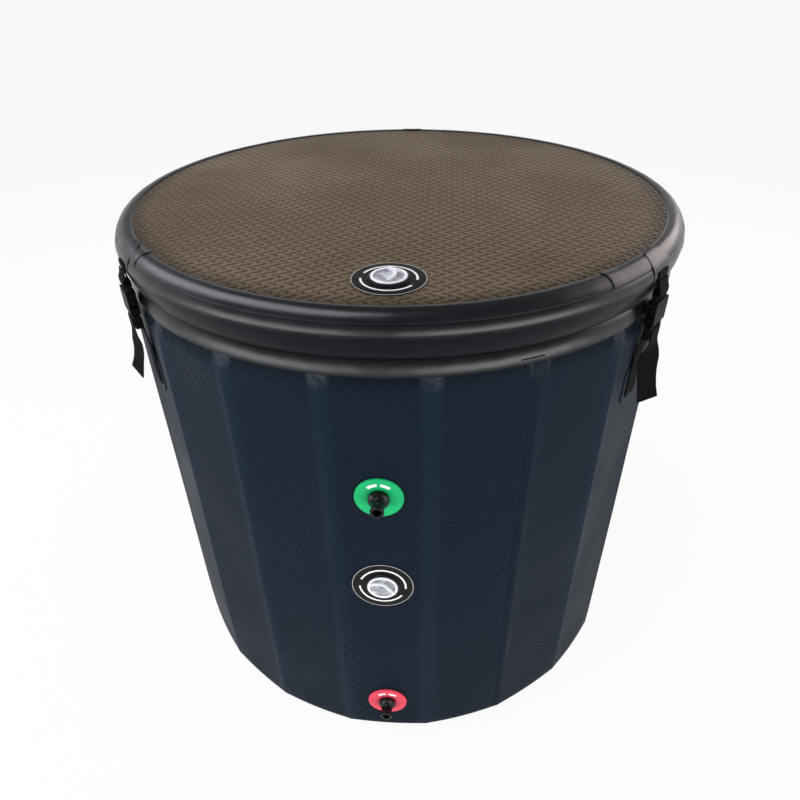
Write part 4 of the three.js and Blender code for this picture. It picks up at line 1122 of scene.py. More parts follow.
@dataclass
class TubLid:
    """The lid's panels and its two edge tapes."""

    palette: Palette
    edge: float = 0.023
    crease: float = 30.0
    panel_inset: float = 0.026
    panel_middle: float = 0.02
    panel_wave: float = 0.00025
    tape_wave: float = 0.0003
    valve_hole: float = 0.0198
    valve_hole_depth: float = 0.02
    lap_azimuths: Pair = (39.6, -48.0)
    lap_length: float = 0.03
    lap_angles: Pair = (97.0, 31.0)
    lap_lift: float = 0.0006
    lap_slope: float = 0.0011
    bulge: float = 0.0011
    lip: Tuple[Pair, ...] = (
        (0.0002, 0.0160), (0.0014, 0.0096), (0.0034, 0.0036), (0.0051, -0.0020), (0.0074, -0.0064),
        (0.0100, -0.0084), (0.0124, -0.0076), (0.0158, -0.0046), (0.0200, -0.0018), (0.0250, 0.0),
    )

    def __post_init__(self) -> None:
        """Reads the lid's main sizes from the frame."""
        self.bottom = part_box("lid_side_tape")[0][2]
        self.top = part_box("lid_edge_tape")[1][2]
        self.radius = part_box("lid_side_tape")[1][1]
        self.centre = (self.radius - self.edge, (self.bottom + self.top) / 2)
        self.panel = self.radius - self.panel_inset

    def panel_row(self, radius: float) -> Row:
        """A row of the top panel, which is a little wavy."""
        wave = self.panel_wave * math.sin(17 * radius)
        return lambda azimuth: (radius, self.top + wave * math.sin(5 * azimuth))

    def build_top(self) -> None:
        """Models the embossed top panel, drawn down a little at its welded edge."""
        flat = (self.panel_middle, 0.09, 0.16, 0.23, 0.29, 0.33, 0.355)
        rows = [self.panel_row(radius) for radius in flat]
        drawn = ((0.3655, 0.0001), (self.panel - 0.003, 0.0005), (self.panel, 0.0009))
        rows += fixed([(radius, self.top - drop) for radius, drop in drawn])
        rows += fixed([(self.panel, self.top - SKIN), (self.panel_middle, self.top - SKIN)])
        panel = revolve("lid_top", rows, FINE_STATIONS, closed=False)
        across, along, _ = middle_of("lid_valve_body")
        place = Matrix.Translation((across, along, self.top))
        bore(panel, [(place, self.valve_hole, self.valve_hole_depth)])
        dress(panel, self.palette.lid_panel, Body.LID, Slot.PANEL, "lid_top_panel", "lid_air_core")

    def ripple(self, azimuth: float, angle: float) -> float:
        """How far a tape stands out: shallow waves and its bulge.

        Args:
            azimuth: Where round the lid.
            angle: Where on the lid's half-round edge, in degrees.

        Returns:
            The distance.
        """
        waves = self.tape_wave * math.sin(41 * azimuth) * math.sin(13 * azimuth + 0.7)
        top, low = (90.0, self.crease) if angle > self.crease else (self.crease, -60.0)
        share = min(max((angle - low) / (top - low), 0.0), 1.0)
        swell = self.bulge * math.sin(math.pi * share) ** 0.8
        return waves * max(0.0, math.cos(math.radians(angle))) + swell

    def edge_row(self, angle: float, inset: float = 0.0) -> Row:
        """A row of a tape on the half-round edge, some way in from its outside."""
        return lambda azimuth: arc(self.centre, self.edge - inset + self.ripple(azimuth, angle), [angle])[0]

    def build_edge(self) -> None:
        """Models the upper tape, from the panel's edge down to the crease."""
        start, top = self.panel + FIT_GAP, self.top
        rows = fixed([(start, top - SKIN), (start, top - 0.0012), (start + 0.0012, top - 0.0002)])
        rows += [self.edge_row(angle) for angle in (90, 82, 74, 66, 58, 50, 43, 37, 33, 31.2)]
        rows += [self.edge_row(*tuck) for tuck in ((30.6, -0.0004), (30.2, -0.0002), (30.15, 0.0009))]
        rows += [self.edge_row(angle, SKIN) for angle in (30.4, 50, 70, 90)]
        tape = revolve("lid_edge_band", rows, FINE_STATIONS)
        dress(tape, self.palette.tape, Body.LID, Slot.TAPE, "lid_edge_tape")

    def build_side(self) -> None:
        """Models the lower tape, from the crease down to a soft lip that laps over the tub's rim."""
        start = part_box("lid_bottom_panel")[1][0] + FIT_GAP
        rows = [self.edge_row(*tuck) for tuck in ((29.7, 0.0005), (29.3, 0.0))]
        rows += [self.edge_row(angle) for angle in (28.8, 26, 20, 14, 7, 0)]
        rows += fixed([(self.radius - inset, self.bottom + rise) for inset, rise in self.lip])
        rows += fixed([(start, self.bottom), (start, self.bottom + SKIN)])
        rows += [self.edge_row(angle, SKIN) for angle in (-90, -60, -30, 0, 29.6)]
        tape = revolve("lid_side_band", rows, FINE_STATIONS)
        dress(tape, self.palette.tape, Body.LID, Slot.TAPE, "lid_side_tape")

    def build_bottom(self) -> None:
        """Models the panel under the lid."""
        low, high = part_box("lid_bottom_panel")
        radii = (self.panel_middle, 0.12, 0.22, 0.3, high[0] - 0.004, high[0])
        rows = fixed([(radius, low[2]) for radius in radii])
        rows += fixed([(high[0], high[2]), (self.panel_middle, high[2])])
        panel = revolve("lid_underside", rows, FINE_STATIONS, closed=False)
        dress(panel, self.palette.underside, Body.LID, Slot.WALL, "lid_bottom_panel")

    def build_lap(self, name: str, degrees: float) -> None:
        """Models one cut end of the upper tape, which lies over the tape's other end.

        Args:
            name: The piece's name.
            degrees: The azimuth of the cut.
        """
        start = math.radians(degrees)
        away = math.copysign(self.lap_length / self.radius, degrees)
        first, last = self.lap_angles

        def at(across: float, along: float) -> Vector:
            """The end's point.

            Args:
                across: The share across, from 0 to 1.
                along: The share along, from 0 to 1.

            Returns:
                The point in the frame.
            """
            angle = first - (first - last) * along
            azimuth = start + away * across
            lift = self.lap_lift - self.lap_slope * across
            reach = self.edge + self.ripple(azimuth, min(angle, 90.0)) + lift
            return at_azimuth(azimuth, *arc(self.centre, reach, [angle])[0])

        lap = laid_sheet(name, 10, 30, at, thickness=0.0006, edge=0.0002)
        dress(lap, self.palette.tape, Body.LID, Slot.TAPE)

    def build(self) -> None:
        """Builds every piece of the lid."""
        self.build_top()
        self.build_edge()
        self.build_side()
        self.build_bottom()
        for number, degrees in enumerate(self.lap_azimuths):
            self.build_lap(f"lid_tape_end_{number}", degrees)


@dataclass
class HosePort:
    """A hose tail with its cover disc, and its seal and nut inside the tub."""

    name: str
    palette: Palette
    colour: Colour
    slot: Slot
    bore: float = 0.0055
    tail: float = 0.00825
    collar: float = 0.013
    disc: float = 0.0303
    disc_edge: float = 0.0009
    gasket_edge: float = 0.0005
    ink: Colour = (0.86, 0.88, 0.86)
    arcs: Tuple[PrintedArc, ...] = (PrintedArc(0.0188, 0.0228, 50, 84), PrintedArc(0.0188, 0.0228, 96, 130))

    def __post_init__(self) -> None:
        """Finds the port's axis in the frame."""
        self.place = out_of_wall(0.0, 0.0, middle_of(f"{self.name}_hose_tail")[2])

    def depth(self, node: str) -> Pair:
        """How far out from the tub's axis a node of the port starts and ends."""
        low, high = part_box(f"{self.name}_{node}")
        return -high[1], -low[1]

    def build_disc(self) -> None:
        """Models the cover disc, with a step round its hole and plain printed bars."""
        back, face = self.depth("cover_disc")
        hole, edge, step = self.tail + FIT_GAP, self.disc_edge, 0.0005
        rows = fixed([
            (hole, back), (self.disc - edge / 2, back), (self.disc, back + edge / 2),
            (self.disc, face - edge), (self.disc - edge / 3, face - edge / 3), (self.disc - edge, face),
            (self.collar + 0.003, face), (self.collar + 0.0022, face - step), (hole, face - step),
        ])
        disc = revolve(f"{self.name}_disc", rows, ROUND_STATIONS, place=self.place)
        finish = PrintedDisc(f"{self.name}_print", self.colour, self.ink, self.place, self.arcs)
        dress(disc, finish.build(), Body.TUB, self.slot, f"{self.name}_cover_disc")

    def build_tail(self) -> None:
        """Models the hose tail with its collar and end bead."""
        back, front = self.depth("hose_tail")
        start = self.depth("cover_disc")[1] + FIT_GAP
        collar, tail, bore_radius = self.collar, self.tail, self.bore
        rows = fixed([
            (bore_radius, back), (tail, back), (tail, start), (collar - 0.0006, start),
            (collar, start + 0.0006), (collar, start + 0.0052), (collar - 0.0008, start + 0.006),
            (collar - 0.0022, start + 0.0066),
            (tail + 0.0011, start + 0.0084), (tail, start + 0.0105), (tail, front - 0.0042),
            (tail + 0.0004, front - 0.0036), (tail + 0.0004, front - 0.0014),
            (tail - 0.0003, front - 0.0003), (tail - 0.0008, front), (bore_radius + 0.0005, front),
            (bore_radius, front - 0.0006),
        ])
        piece = revolve(f"{self.name}_tail", rows, ROUND_STATIONS, place=self.place)
        dress(piece, self.palette.fitting, Body.TUB, Slot.FITTING, f"{self.name}_hose_tail")

    def build_inside(self) -> None:
        """Models the lock nut and the gasket inside the tub."""
        nut = refined(f"{self.name}_lock_nut", f"{self.name}_nut", 0.0006)
        dress(nut, self.palette.fitting, Body.TUB, Slot.FITTING, f"{self.name}_lock_nut")
        near, far = self.depth("inner_gasket")
        hole, outer, soft = self.tail + FIT_GAP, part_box(f"{self.name}_inner_gasket")[1][0], self.gasket_edge
        rows = fixed([
            (hole, near), (outer - soft, near), (outer, near + soft),
            (outer, far - soft), (outer - soft, far), (hole, far),
        ])
        gasket = revolve(f"{self.name}_gasket", rows, ROUND_STATIONS, place=self.place)
        dress(gasket, self.palette.rubber, Body.TUB, Slot.RUBBER, f"{self.name}_inner_gasket")

    def build(self) -> None:
        """Builds the port's pieces."""
        self.build_disc()
        self.build_tail()
        self.build_inside()
        paint(f"{self.name}_wall_sleeve", self.palette.strip)


@dataclass
class InflationValve:
    """A sprung inflation valve with its twist cap and printed label."""

    name: str
    palette: Palette
    carrier: Body
    place: Matrix
    cap_turn: float = 0.0
    label: float = 0.042
    label_foot: float = 0.0003
    label_top: float = 0.0013
    flange: float = 0.0235
    flange_foot: float = 0.0016
    flange_top: float = 0.0030
    socket: float = 0.0172
    socket_floor: float = -0.005
    neck: float = 0.0195
    neck_end: float = -0.009
    throat: float = 0.012
    throat_wall: float = 0.004
    throat_end: float = -0.022
    hub: Pair = (0.0031, 0.006)
    hub_heights: Pair = (-0.020, -0.015)
    spoke_size: Size = (0.0088, 0.003, 0.005)
    spoke_reach: float = 0.0094
    stem: float = 0.0028
    button: float = 0.006
    button_heights: Pair = (-0.0031, -0.0006)
    seal_disc: float = 0.0135
    seal_disc_heights: Pair = (-0.0253, -0.0223)
    pole: float = 0.0006
    cap: float = 0.0205
    cap_foot: float = 0.0033
    cap_rim: float = 0.0050
    cap_rim_width: float = 0.0030
    cap_floor: float = 0.0030
    skirt_end: float = -0.0033
    skirt_wall: float = 0.0021
    rib_half: float = 0.0010
    rib_rise: float = 0.0020
    ring: Pair = (-0.00415, 0.00055)
    black: Colour = (0.0030, 0.0030, 0.0034)
    ink: Colour = (0.74, 0.73, 0.72)
    arcs: Tuple[PrintedArc, ...] = (
        PrintedArc(0.0406, 0.0416, -360, 360, strength=0.45),
        PrintedArc(0.0297, 0.0322, -6, 157),
        PrintedArc(0.0297, 0.0322, -178, -34),
    )

    def build_label(self) -> None:
        """Models the label disc, with its printed edge line and broken arcs."""
        hole, outer, foot, top = self.neck + FIT_GAP, self.label, self.label_foot, self.label_top
        rows = fixed([
            (hole, foot), (outer, foot), (outer + 0.0001, foot + 0.0004), (outer - 0.0003, top - 0.0002),
            (outer - 0.006, top), (hole, top),
        ])
        label = revolve(f"{self.name}_label", rows, ROUND_STATIONS, place=self.place)
        finish = PrintedDisc(f"{self.name}_print", self.black, self.ink, self.place, self.arcs)
        dress(label, finish.build(), self.carrier, Slot.LABEL, f"{self.name}_label_disc")

    def build_shell(self) -> None:
        """Models the flange, socket and throat."""
        top, flange, socket = self.flange_top, self.flange, self.socket
        outer = self.throat + self.throat_wall
        rows = fixed([
            (socket, top - 0.0003), (socket + 0.0005, top), (flange - 0.0010, top),
            (flange - 0.0003, top - 0.0003), (flange, top - 0.0009), (flange, self.flange_foot),
            (self.neck, self.flange_foot),
            (self.neck, self.neck_end), (outer, self.neck_end), (outer, self.throat_end),
            (self.throat, self.throat_end), (self.throat, self.socket_floor), (socket, self.socket_floor),
        ])
        shell = revolve(f"{self.name}_shell", rows, ROUND_STATIONS, place=self.place)
        dress(shell, self.palette.fitting, self.carrier, Slot.VALVE, f"{self.name}_body")

    def build_hub(self) -> None:
        """Models the hub that guides the stem, on three spokes."""
        (inner, outer), (low, high) = self.hub, self.hub_heights
        rows = fixed([(inner, low), (outer, low), (outer, high), (inner, high)])
        hub = revolve(f"{self.name}_hub", rows, 48)
        parts = [hub]
        for turn in range(3):
            spoke = begin(bpy.ops.mesh.primitive_cube_add, size=1.0)
            bpy.ops.transform.resize(value=self.spoke_size)
            bpy.ops.transform.translate(value=(self.spoke_reach, 0.0, (low + high) / 2))
            bpy.ops.mesh.bevel(offset=0.0004, segments=2, affect="EDGES")
            finish_mesh(spoke, "spoke", Matrix.Rotation(turn * math.tau / 3, 4, "Z"))
            parts.append(spoke)
        only(hub)
        for part in parts:
            part.select_set(True)
        bpy.ops.object.join()
        hub.matrix_world = self.place
        bpy.ops.object.transform_apply(location=True, rotation=True, scale=True)
        dress(hub, self.palette.valve, self.carrier, Slot.VALVE)

    def build_stem(self) -> None:
        """Models the stem with its press button and sealing disc."""
        (foot, top), (low, high) = self.button_heights, self.seal_disc_heights
        button, disc, soft = self.button, self.seal_disc, 0.0003
        rows = fixed([
            (self.pole, top - 0.0002), (button - 0.0012, top), (button - soft, top - soft),
            (button, top - 0.0008), (button, foot), (self.stem, foot), (self.stem, high),
            (disc - soft, high), (disc, high - soft),
            (disc, low + soft), (disc - soft, low), (self.pole, low),
        ])
        stem = revolve(f"{self.name}_plunger", rows, 64, closed=False, place=self.place)
        dress(stem, self.palette.valve, f"{self.name}_stem", Slot.VALVE, f"{self.name}_stem")

    def build_cap(self) -> None:
        """Models the twist cap: a dish with a flat rim over a skirt, its dish floor painted darker as painted
        shade.
        """
        cap, rim, floor, under = self.cap, self.cap_rim, self.cap_floor, self.cap_foot
        skirt, end = self.socket - 2 * FIT_GAP, self.skirt_end
        dish = cap - self.cap_rim_width
        rows = fixed([
            (self.pole, floor), (0.010, floor), (dish - 0.0020, floor + 0.0003),
            (dish - 0.0012, floor + 0.0010), (dish - 0.0002, rim - 0.0004), (dish + 0.0005, rim),
            (cap - 0.0009, rim), (cap - 0.0002, rim - 0.0003), (cap, rim - 0.0009),
            (cap, under + 0.0003), (cap - 0.0003, under), (skirt, under),
            (skirt, end + 0.0003), (skirt - 0.0004, end), (skirt - self.skirt_wall, end),
            (skirt - self.skirt_wall, 0.0), (self.pole, 0.0),
        ])
        place = self.place @ Matrix.Rotation(self.cap_turn, 4, "Z")
        piece = revolve(f"{self.name}_lid", rows, ROUND_STATIONS, closed=False, place=place)
        dress(piece, self.palette.valve, f"{self.name}_cap", Slot.VALVE, f"{self.name}_cap")
        # The dish floor's faces take the darker copy of the cap's plastic, painted shade in the recess.
        piece.data.materials.append(self.palette.valve_dish_shade)
        home = place.inverted()
        for face in piece.data.polygons:
            at_home = home @ face.center
            if at_home.xy.length < dish and floor - 0.0001 < at_home.z < rim - 0.0004:
                face.material_index = 1

    def build_rib(self) -> None:
        """Models the bowed finger rib across the cap's dish."""
        dish = self.cap - self.cap_rim_width
        place = self.place @ Matrix.Rotation(self.cap_turn, 4, "Z")
        bow, end = dish / 2, dish - 0.0006
        start = (-0.0015, end)
        line = [start, *curve([start, (2.1 * bow, bow / 3), (-bow / 5, -bow), (0.0, -end)], 28)]
        foot, crest = self.cap_floor - 0.0008, self.cap_rim + self.rib_rise

        def at(across: float, along: float) -> Vector:
            """The rib's point.

            Args:
                across: The share across, from 0 to 1.
                along: The share along, from 0 to 1.

            Returns:
                The point in the frame.
            """
            step = along * (len(line) - 1)
            low = min(int(step), len(line) - 2)
            here, there = Vector(line[low]), Vector(line[low + 1])
            flow = (there - here).normalized()
            side = Vector((-flow.y, flow.x))
            turn = math.pi * across
            flat = here.lerp(there, step - low) - side * math.cos(turn) * self.rib_half
            height = foot + (crest - foot) * min(1.0, 1.25 * math.sin(turn) ** 0.4)
            return place @ Vector((flat.x, flat.y, height))

        rib = laid_sheet(f"{self.name}_finger_rib", 14, 40, at, thickness=0.0006, edge=0.0001)
        dress(rib, self.palette.valve, f"{self.name}_cap", Slot.VALVE)

    def build_seal(self) -> None:
        """Models the soft ring under the cap."""
        height, thick = self.ring
        middle = self.socket - FIT_GAP - self.skirt_wall / 2
        rows = fixed(arc((middle, height), thick, range(0, 360, 30)))
        seal = revolve(f"{self.name}_ring", rows, 64, place=self.place)
        dress(seal, self.palette.rubber, f"{self.name}_seal", Slot.RUBBER, f"{self.name}_cap_seal")

    def build(self) -> None:
        """Builds the valve's pieces."""
        self.build_label()
        self.build_shell()
        self.build_hub()
        self.build_stem()
        self.build_cap()
        self.build_rib()
        self.build_seal()
        paint(f"{self.name}_clamp_nut", self.palette.fitting)
        paint(f"{self.name}_spring", self.palette.steel)


@dataclass
class LidStrap:
    """One lid strap: webbing on the wall and the lid, patches and a side-release buckle."""

    name: str
    palette: Palette
    azimuth: float
    apothem: float
    lid_centre: Pair
    lid_edge: float
    tail: float
    twist: float
    cut: float
    width: float = 0.025
    thickness: float = 0.0015
    patch: float = 0.0012
    turn: float = 0.0016
    slack: float = 0.0005
    foot: float = 0.5653
    lift: float = 0.612
    tail_start: float = 0.02
    tail_hold: float = 0.021
    step: float = 0.0018
    fewest_steps: int = 24
    pressed: float = 0.92
    lid_start: float = 14.0
    flare: float = 0.010
    buckle_outset: float = 0.0035
    plug_half: float = 0.004
    bar_half: float = 0.003
    ease: float = 0.004
    patch_half: float = 0.023
    patch_reach: float = 0.002
    patch_angle: float = 110.0

    def __post_init__(self) -> None:
        """Works out where the buckle and the webbing's middle line lie."""
        self.buckle = self.lid_centre[0] + self.lid_edge + self.buckle_outset
        self.half = self.thickness / 2
        self.on_patch = self.patch + 2 * FIT_GAP + self.half

    def lay_path(self, label: str, path: Sequence[Pair], twist: float = 0.0) -> Piece:
        """Lays webbing along a path in the radius-height plane.

        Args:
            label: The piece's name after the strap's own.
            path: The path's points.
            twist: How far the free end turns about its own length, in radians.

        Returns:
            The finished webbing, with its UV map in metres.
        """
        out = at_azimuth(self.azimuth, 1.0, 0.0)
        side = Vector((math.cos(self.azimuth), math.sin(self.azimuth), 0.0))
        places = [Vector(point) for point in path]
        lengths = [0.0]
        for here, there in zip(places, places[1:]):
            lengths.append(lengths[-1] + (there - here).length)
        total = lengths[-1]
        steps = max(self.fewest_steps, int(total / self.step))
        free = (self.tail - self.tail_hold) / total

        def at(across: float, along: float) -> Vector:
            """The webbing's point.

            Args:
                across: The share across, from 0 to 1.
                along: The share along, from 0 to 1.

            Returns:
                The point in the frame.
            """
            reach = along * total
            low = max(i for i, length in enumerate(lengths[:-1]) if length <= reach + 1e-9)
            share = (reach - lengths[low]) / (lengths[low + 1] - lengths[low])
            point = places[low].lerp(places[low + 1], share)
            lean = twist * smooth_step(1.0 - 1.05 * free, 1.0 - 0.7 * free, along)
            offset = (across - 0.5) * self.width
            radius = point.x + offset * math.sin(lean)
            drop = self.cut * (across - 0.5) * smooth_step(0.9, 1.0, along) if twist else 0.0
            return out * radius + side * offset * math.cos(lean) + Vector((0.0, 0.0, point.y - drop))

        thickness = self.pressed * self.thickness
        piece = laid_sheet(f"{self.name}_{label}", 8, steps, at, thickness, edge=0.0003)
        for corner in piece.data.uv_layers.active.data:
            corner.uv = (corner.uv.x * self.width, corner.uv.y * total)
        piece.data.uv_layers.active.name = "UVMap"
        return piece

    def wall_path(self) -> list[Pair]:
        """The wall strap's path: up from its patch, over the plug's bar and down as a free tail.

        Returns:
            The path's points, each a radius and a height.
        """
        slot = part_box(f"{self.name}_wall_strap")[1][2] - self.half
        flat = self.apothem + self.on_patch
        back = self.buckle - self.plug_half - self.slack - self.half
        front = self.buckle + self.plug_half + self.slack + self.half
        bar = slot - self.turn
        sway = (self.lift + bar) / 2
        path = [(flat, self.foot), (flat, self.lift)]
        path += curve([(flat, self.lift), (flat, sway), (back, sway), (back, bar - self.ease)], 14)
        path += [(back, bar)]
        path += arc((back + self.turn, bar), self.turn, (150, 120, 90))
        path += [(front - self.turn, slot)]
        path += arc((front - self.turn, bar), self.turn, (60, 30, 0))
        hang = slot - self.tail_start
        end = slot - self.tail
        bend = (hang + end) / 2
        path += [(front, hang)]
        path += curve([(front, hang), (front, bend), (front, bend), (front + self.flare, end)], 18)
        return path

    def lid_path(self) -> list[Pair]:
        """The lid strap's path: down the lid's edge, through the socket and back up on itself.

        Returns:
            The path's points, each a radius and a height.
        """
        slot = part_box(f"{self.name}_lid_strap")[0][2] + self.half
        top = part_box(f"{self.name}_buckle_socket")[1][2]
        centre, middle = self.lid_centre
        reach = self.lid_edge + self.on_patch
        leave = math.asin((middle - top) / reach / 3)
        start, height = centre + reach * math.cos(leave), middle - reach * math.sin(leave)
        inner = self.buckle - self.bar_half - self.slack - self.half
        outer = self.buckle + self.bar_half + self.slack + self.half
        bar = slot + self.turn
        ease = self.ease
        path = arc(self.lid_centre, reach, span(self.lid_start, -math.degrees(leave), 8))
        path += curve([(start, height), (start, height - ease), (inner, top + ease), (inner, top)], 8)
        path += [(inner, bar)]
        path += arc((inner + self.turn, bar), self.turn, (210, 240, 270))
        path += [(outer - self.turn, slot)]
        path += arc((outer - self.turn, bar), self.turn, (300, 330, 360))
        path += [(outer, top)]
        on_strap = start + self.thickness + FIT_GAP + self.slack
        end = height + ease / 2
        path += curve([(outer, top), (outer, top + ease), (on_strap, end - 2 * ease), (on_strap, end)], 8)
        return path

    def build_patches(self) -> None:
        """Models the patch on the wall and the half-round one over the lid's edge."""
        wall = refined(f"{self.name}_wall_strap_patch", f"{self.name}_wall_patch", 0.0004)
        dress(wall, self.palette.strip, Body.TUB, Slot.WALL, f"{self.name}_wall_strap_patch")
        reach = self.lid_edge + self.patch
        start = self.lid_centre[0] - self.patch_reach
        total = self.lid_edge * math.radians(self.patch_angle) + self.patch_reach

        def at(across: float, along: float) -> Vector:
            """The patch's point.

            Args:
                across: The share across, from 0 to 1.
                along: The share along, from 0 to 1.

            Returns:
                The point in the frame.
            """
            length = along * total
            taper = math.sqrt(max(0.0, 1 - max(0.0, 1 - length / self.patch_half) ** 2))
            sideways = (2 * across - 1) * self.patch_half * max(taper, 0.05)
            turn = self.azimuth + sideways / (start + self.width)
            if length < self.patch_reach:
                return at_azimuth(turn, start + length, self.lid_centre[1] + reach)
            angle = 90 - math.degrees((length - self.patch_reach) / self.lid_edge)
            return at_azimuth(turn, *arc(self.lid_centre, reach, [angle])[0])

        patch = laid_sheet(f"{self.name}_lid_patch", 16, 40, at, thickness=0.0007, edge=0.0003)
        dress(patch, self.palette.tape, Body.LID, Slot.TAPE, f"{self.name}_lid_strap_patch")

    def build_buckle(self) -> None:
        """Rounds the buckle's socket, plug and springy arms."""
        pieces = (
            ("socket", Body.LID, 0.0007),
            ("plug", Body.TUB, 0.0006),
            ("arm_a", f"{self.name}_buckle_arm_a", 0.0005),
            ("arm_b", f"{self.name}_buckle_arm_b", 0.0005),
        )
        for label, body, edge in pieces:
            node = f"{self.name}_buckle_{label}"
            piece = refined(node, f"{self.name}_{label}", edge)
            dress(piece, self.palette.buckle, body, Slot.BUCKLE, node)

    def build(self) -> None:
        """Builds the strap's pieces."""
        wall = self.lay_path("wall_webbing", self.wall_path(), self.twist)
        dress(wall, self.palette.webbing, Body.TUB, Slot.WEBBING, f"{self.name}_wall_strap")
        lid = self.lay_path("lid_webbing", self.lid_path())
        dress(lid, self.palette.webbing, Body.LID, Slot.WEBBING, f"{self.name}_lid_strap")
        self.build_patches()
        self.build_buckle()


@dataclass(frozen=True)
class StripLamp:
    """A soft strip lamp between the middles of its two short sides."""

    name: str
    start: Size
    end: Size
    width: float
    power: float
    colour: Colour

    def build(self, target: Vector) -> None:
        """Hangs the lamp so that it faces a point.

        Args:
            target: The point.
        """
        start, end = Vector(self.start), Vector(self.end)
        middle = (start + end) / 2
        back = (middle - target).normalized()
        side = back.cross((end - start).normalized()).normalized()
        turn = Matrix((side.cross(back), side, back)).transposed().to_4x4()
        data = bpy.data.lights.new(self.name, "AREA")
        data.shape = "RECTANGLE"
        data.size, data.size_y = (end - start).length, self.width
        data.energy = self.power
        data.color = self.colour
        lamp = bpy.data.objects.new(self.name, data)
        lamp.visible_camera = False
        bpy.context.scene.collection.objects.link(lamp)
        lamp.matrix_world = Matrix.Translation(middle) @ turn


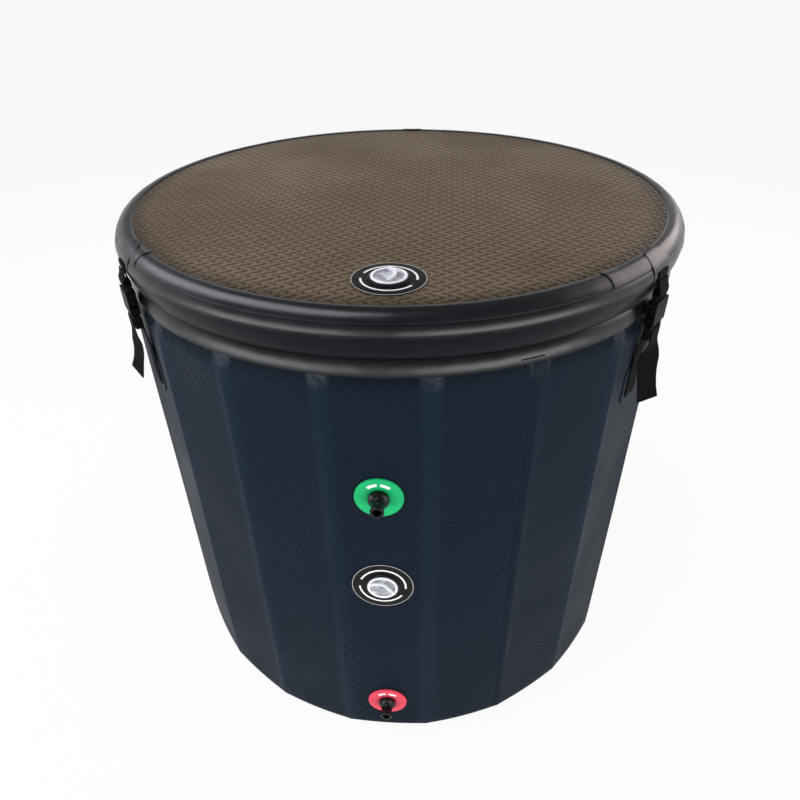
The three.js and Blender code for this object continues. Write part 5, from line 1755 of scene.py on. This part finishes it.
@dataclass
class Studio:
    """The camera, floor and lights."""

    eye: Vector = field(default_factory=lambda: Vector((0.0705, -0.9577, 1.0543)))
    heading: float = math.radians(4.4)
    pitch: float = math.radians(35.07)
    roll: float = math.radians(-0.87)
    target: Vector = field(default_factory=lambda: Vector((0.0, 0.0, 0.7)))
    focal_px: float = 647.4
    frame_px: float = 800.0
    sensor: float = 36.0
    floor_glow: float = 0.92
    fade: Pair = (0.06, 0.4)
    brightness: Pair = (0.88, 0.18)
    lamps: Tuple[StripLamp, ...] = (
        StripLamp("left_window", (-2.1, 0.62, 1.6), (-0.35, -0.97, 2.85), 1.15, 56.0, (0.88, 0.91, 1.0)),
        StripLamp("front_left_strip", (-2.2, -0.9, 0.46), (-0.45, -2.2, 0.46), 0.8, 23.0, (0.96, 0.98, 1.0)),
        StripLamp("front_right_strip", (0.25, -2.2, 0.46), (2.2, -1.0, 0.46), 0.8, 24.0, (1.0, 1.0, 1.0)),
        StripLamp("right_glow", (2.6, -0.1, 1.7), (1.5, 1.9, 1.7), 1.4, 38.0, (1.0, 0.87, 0.86)),
        StripLamp("back_glow", (1.3, 2.3, 1.2), (-1.4, 2.3, 1.2), 0.6, 3.0, (1.0, 0.97, 0.92)),
    )

    def add_camera(self) -> None:
        """Sets the camera where the photograph was taken from."""
        data = bpy.data.cameras.new("photo_camera")
        data.sensor_width = self.sensor
        data.lens = self.sensor * self.focal_px / self.frame_px
        data.clip_start = 0.01
        camera = bpy.data.objects.new("photo_camera", data)
        bpy.context.scene.collection.objects.link(camera)
        turn = Matrix.Rotation(self.heading, 4, "Z") @ Matrix.Rotation(math.pi / 2 - self.pitch, 4, "X")
        camera.matrix_world = Matrix.Translation(self.eye) @ turn @ Matrix.Rotation(self.roll, 4, "Z")
        bpy.context.scene.camera = camera

    def add_floor(self) -> None:
        """Lays a white floor that keeps a soft shadow."""
        floor = begin(bpy.ops.mesh.primitive_plane_add, size=60.0)
        finish_mesh(floor, "studio_floor")
        book = NodeBook("studio_white")
        path = book.add("LightPath").outputs
        seen = book.math("MAXIMUM", path["Is Camera Ray"], path["Is Glossy Ray"])
        seen = book.math("MAXIMUM", seen, path["Is Transmission Ray"])
        diffuse = book.add("BsdfDiffuse", {"Color": (0.82, 0.82, 0.82)})
        glow = book.add("Emission", {"Color": (1.0, 1.0, 1.0), "Strength": 1.0})
        share = book.math("MULTIPLY", seen, self.floor_glow)
        mixed = book.add("MixShader", {0: share, 1: diffuse.outputs[0], 2: glow.outputs[0]})
        book.tree.links.new(mixed.outputs[0], book.tree.nodes["Material Output"].inputs["Surface"])
        floor.data.materials.append(book.material)

    def add_world(self) -> None:
        """Sets a plain backdrop that is pale at the floor and dimmer overhead."""
        world = bpy.data.worlds.new("studio")
        world.use_nodes = True
        bpy.context.scene.world = world
        nodes, links = world.node_tree.nodes, world.node_tree.links
        way, split = nodes.new("ShaderNodeNewGeometry"), nodes.new("ShaderNodeSeparateXYZ")
        slope, fade = nodes.new("ShaderNodeMath"), nodes.new("ShaderNodeMapRange")
        slope.operation = "ABSOLUTE"
        fade.interpolation_type = "SMOOTHSTEP"
        for name, value in zip(("From Min", "From Max", "To Min", "To Max"), self.fade + self.brightness):
            fade.inputs[name].default_value = value
        links.new(way.outputs["Normal"], split.inputs["Vector"])
        links.new(split.outputs["Z"], slope.inputs[0])
        links.new(slope.outputs[0], fade.inputs["Value"])
        nodes["Background"].inputs["Color"].default_value = (1.0, 1.0, 1.0, 1.0)
        links.new(fade.outputs["Result"], nodes["Background"].inputs["Strength"])

    def build(self) -> None:
        """Sets up the studio."""
        bpy.context.scene.view_settings.view_transform = "Standard"
        self.add_camera()
        self.add_floor()
        self.add_world()
        for lamp in self.lamps:
            lamp.build(self.target)


def main() -> None:
    """Builds the tub, its lid, fittings and straps, and the studio around them."""
    logging.basicConfig(level=logging.INFO, format="%(name)s: %(message)s")
    palette = Palette()
    Studio().build()
    wall = TubWall(palette)
    wall.build()
    lid = TubLid(palette)
    lid.build()
    HosePort("upper_port", palette, (0.008, 0.360, 0.120), Slot.GREEN).build()
    HosePort("lower_port", palette, (0.660, 0.058, 0.092), Slot.RED).build()
    wall_place = out_of_wall(0.0, wall.apothem, middle_of("wall_valve_body")[2])
    InflationValve("wall_valve", palette, Body.TUB, wall_place, cap_turn=math.radians(65)).build()
    across, along, _ = middle_of("lid_valve_body")
    InflationValve("lid_valve", palette, Body.LID, Matrix.Translation((across, along, lid.top))).build()
    straps = (
        ("left", -54.0, {"tail": 0.082, "twist": -0.26, "cut": 0.010}),
        ("right", 54.0, {"tail": 0.104, "twist": 0.80, "cut": -0.010}),
        ("rear", 180.0, {"tail": 0.092, "twist": 0.3, "cut": 0.010}),
    )
    for name, degrees, ends in straps:
        azimuth = math.radians(degrees)
        LidStrap(name, palette, azimuth, wall.apothem, lid.centre, lid.edge, **ends).build()


if __name__ == "__main__":
    main()
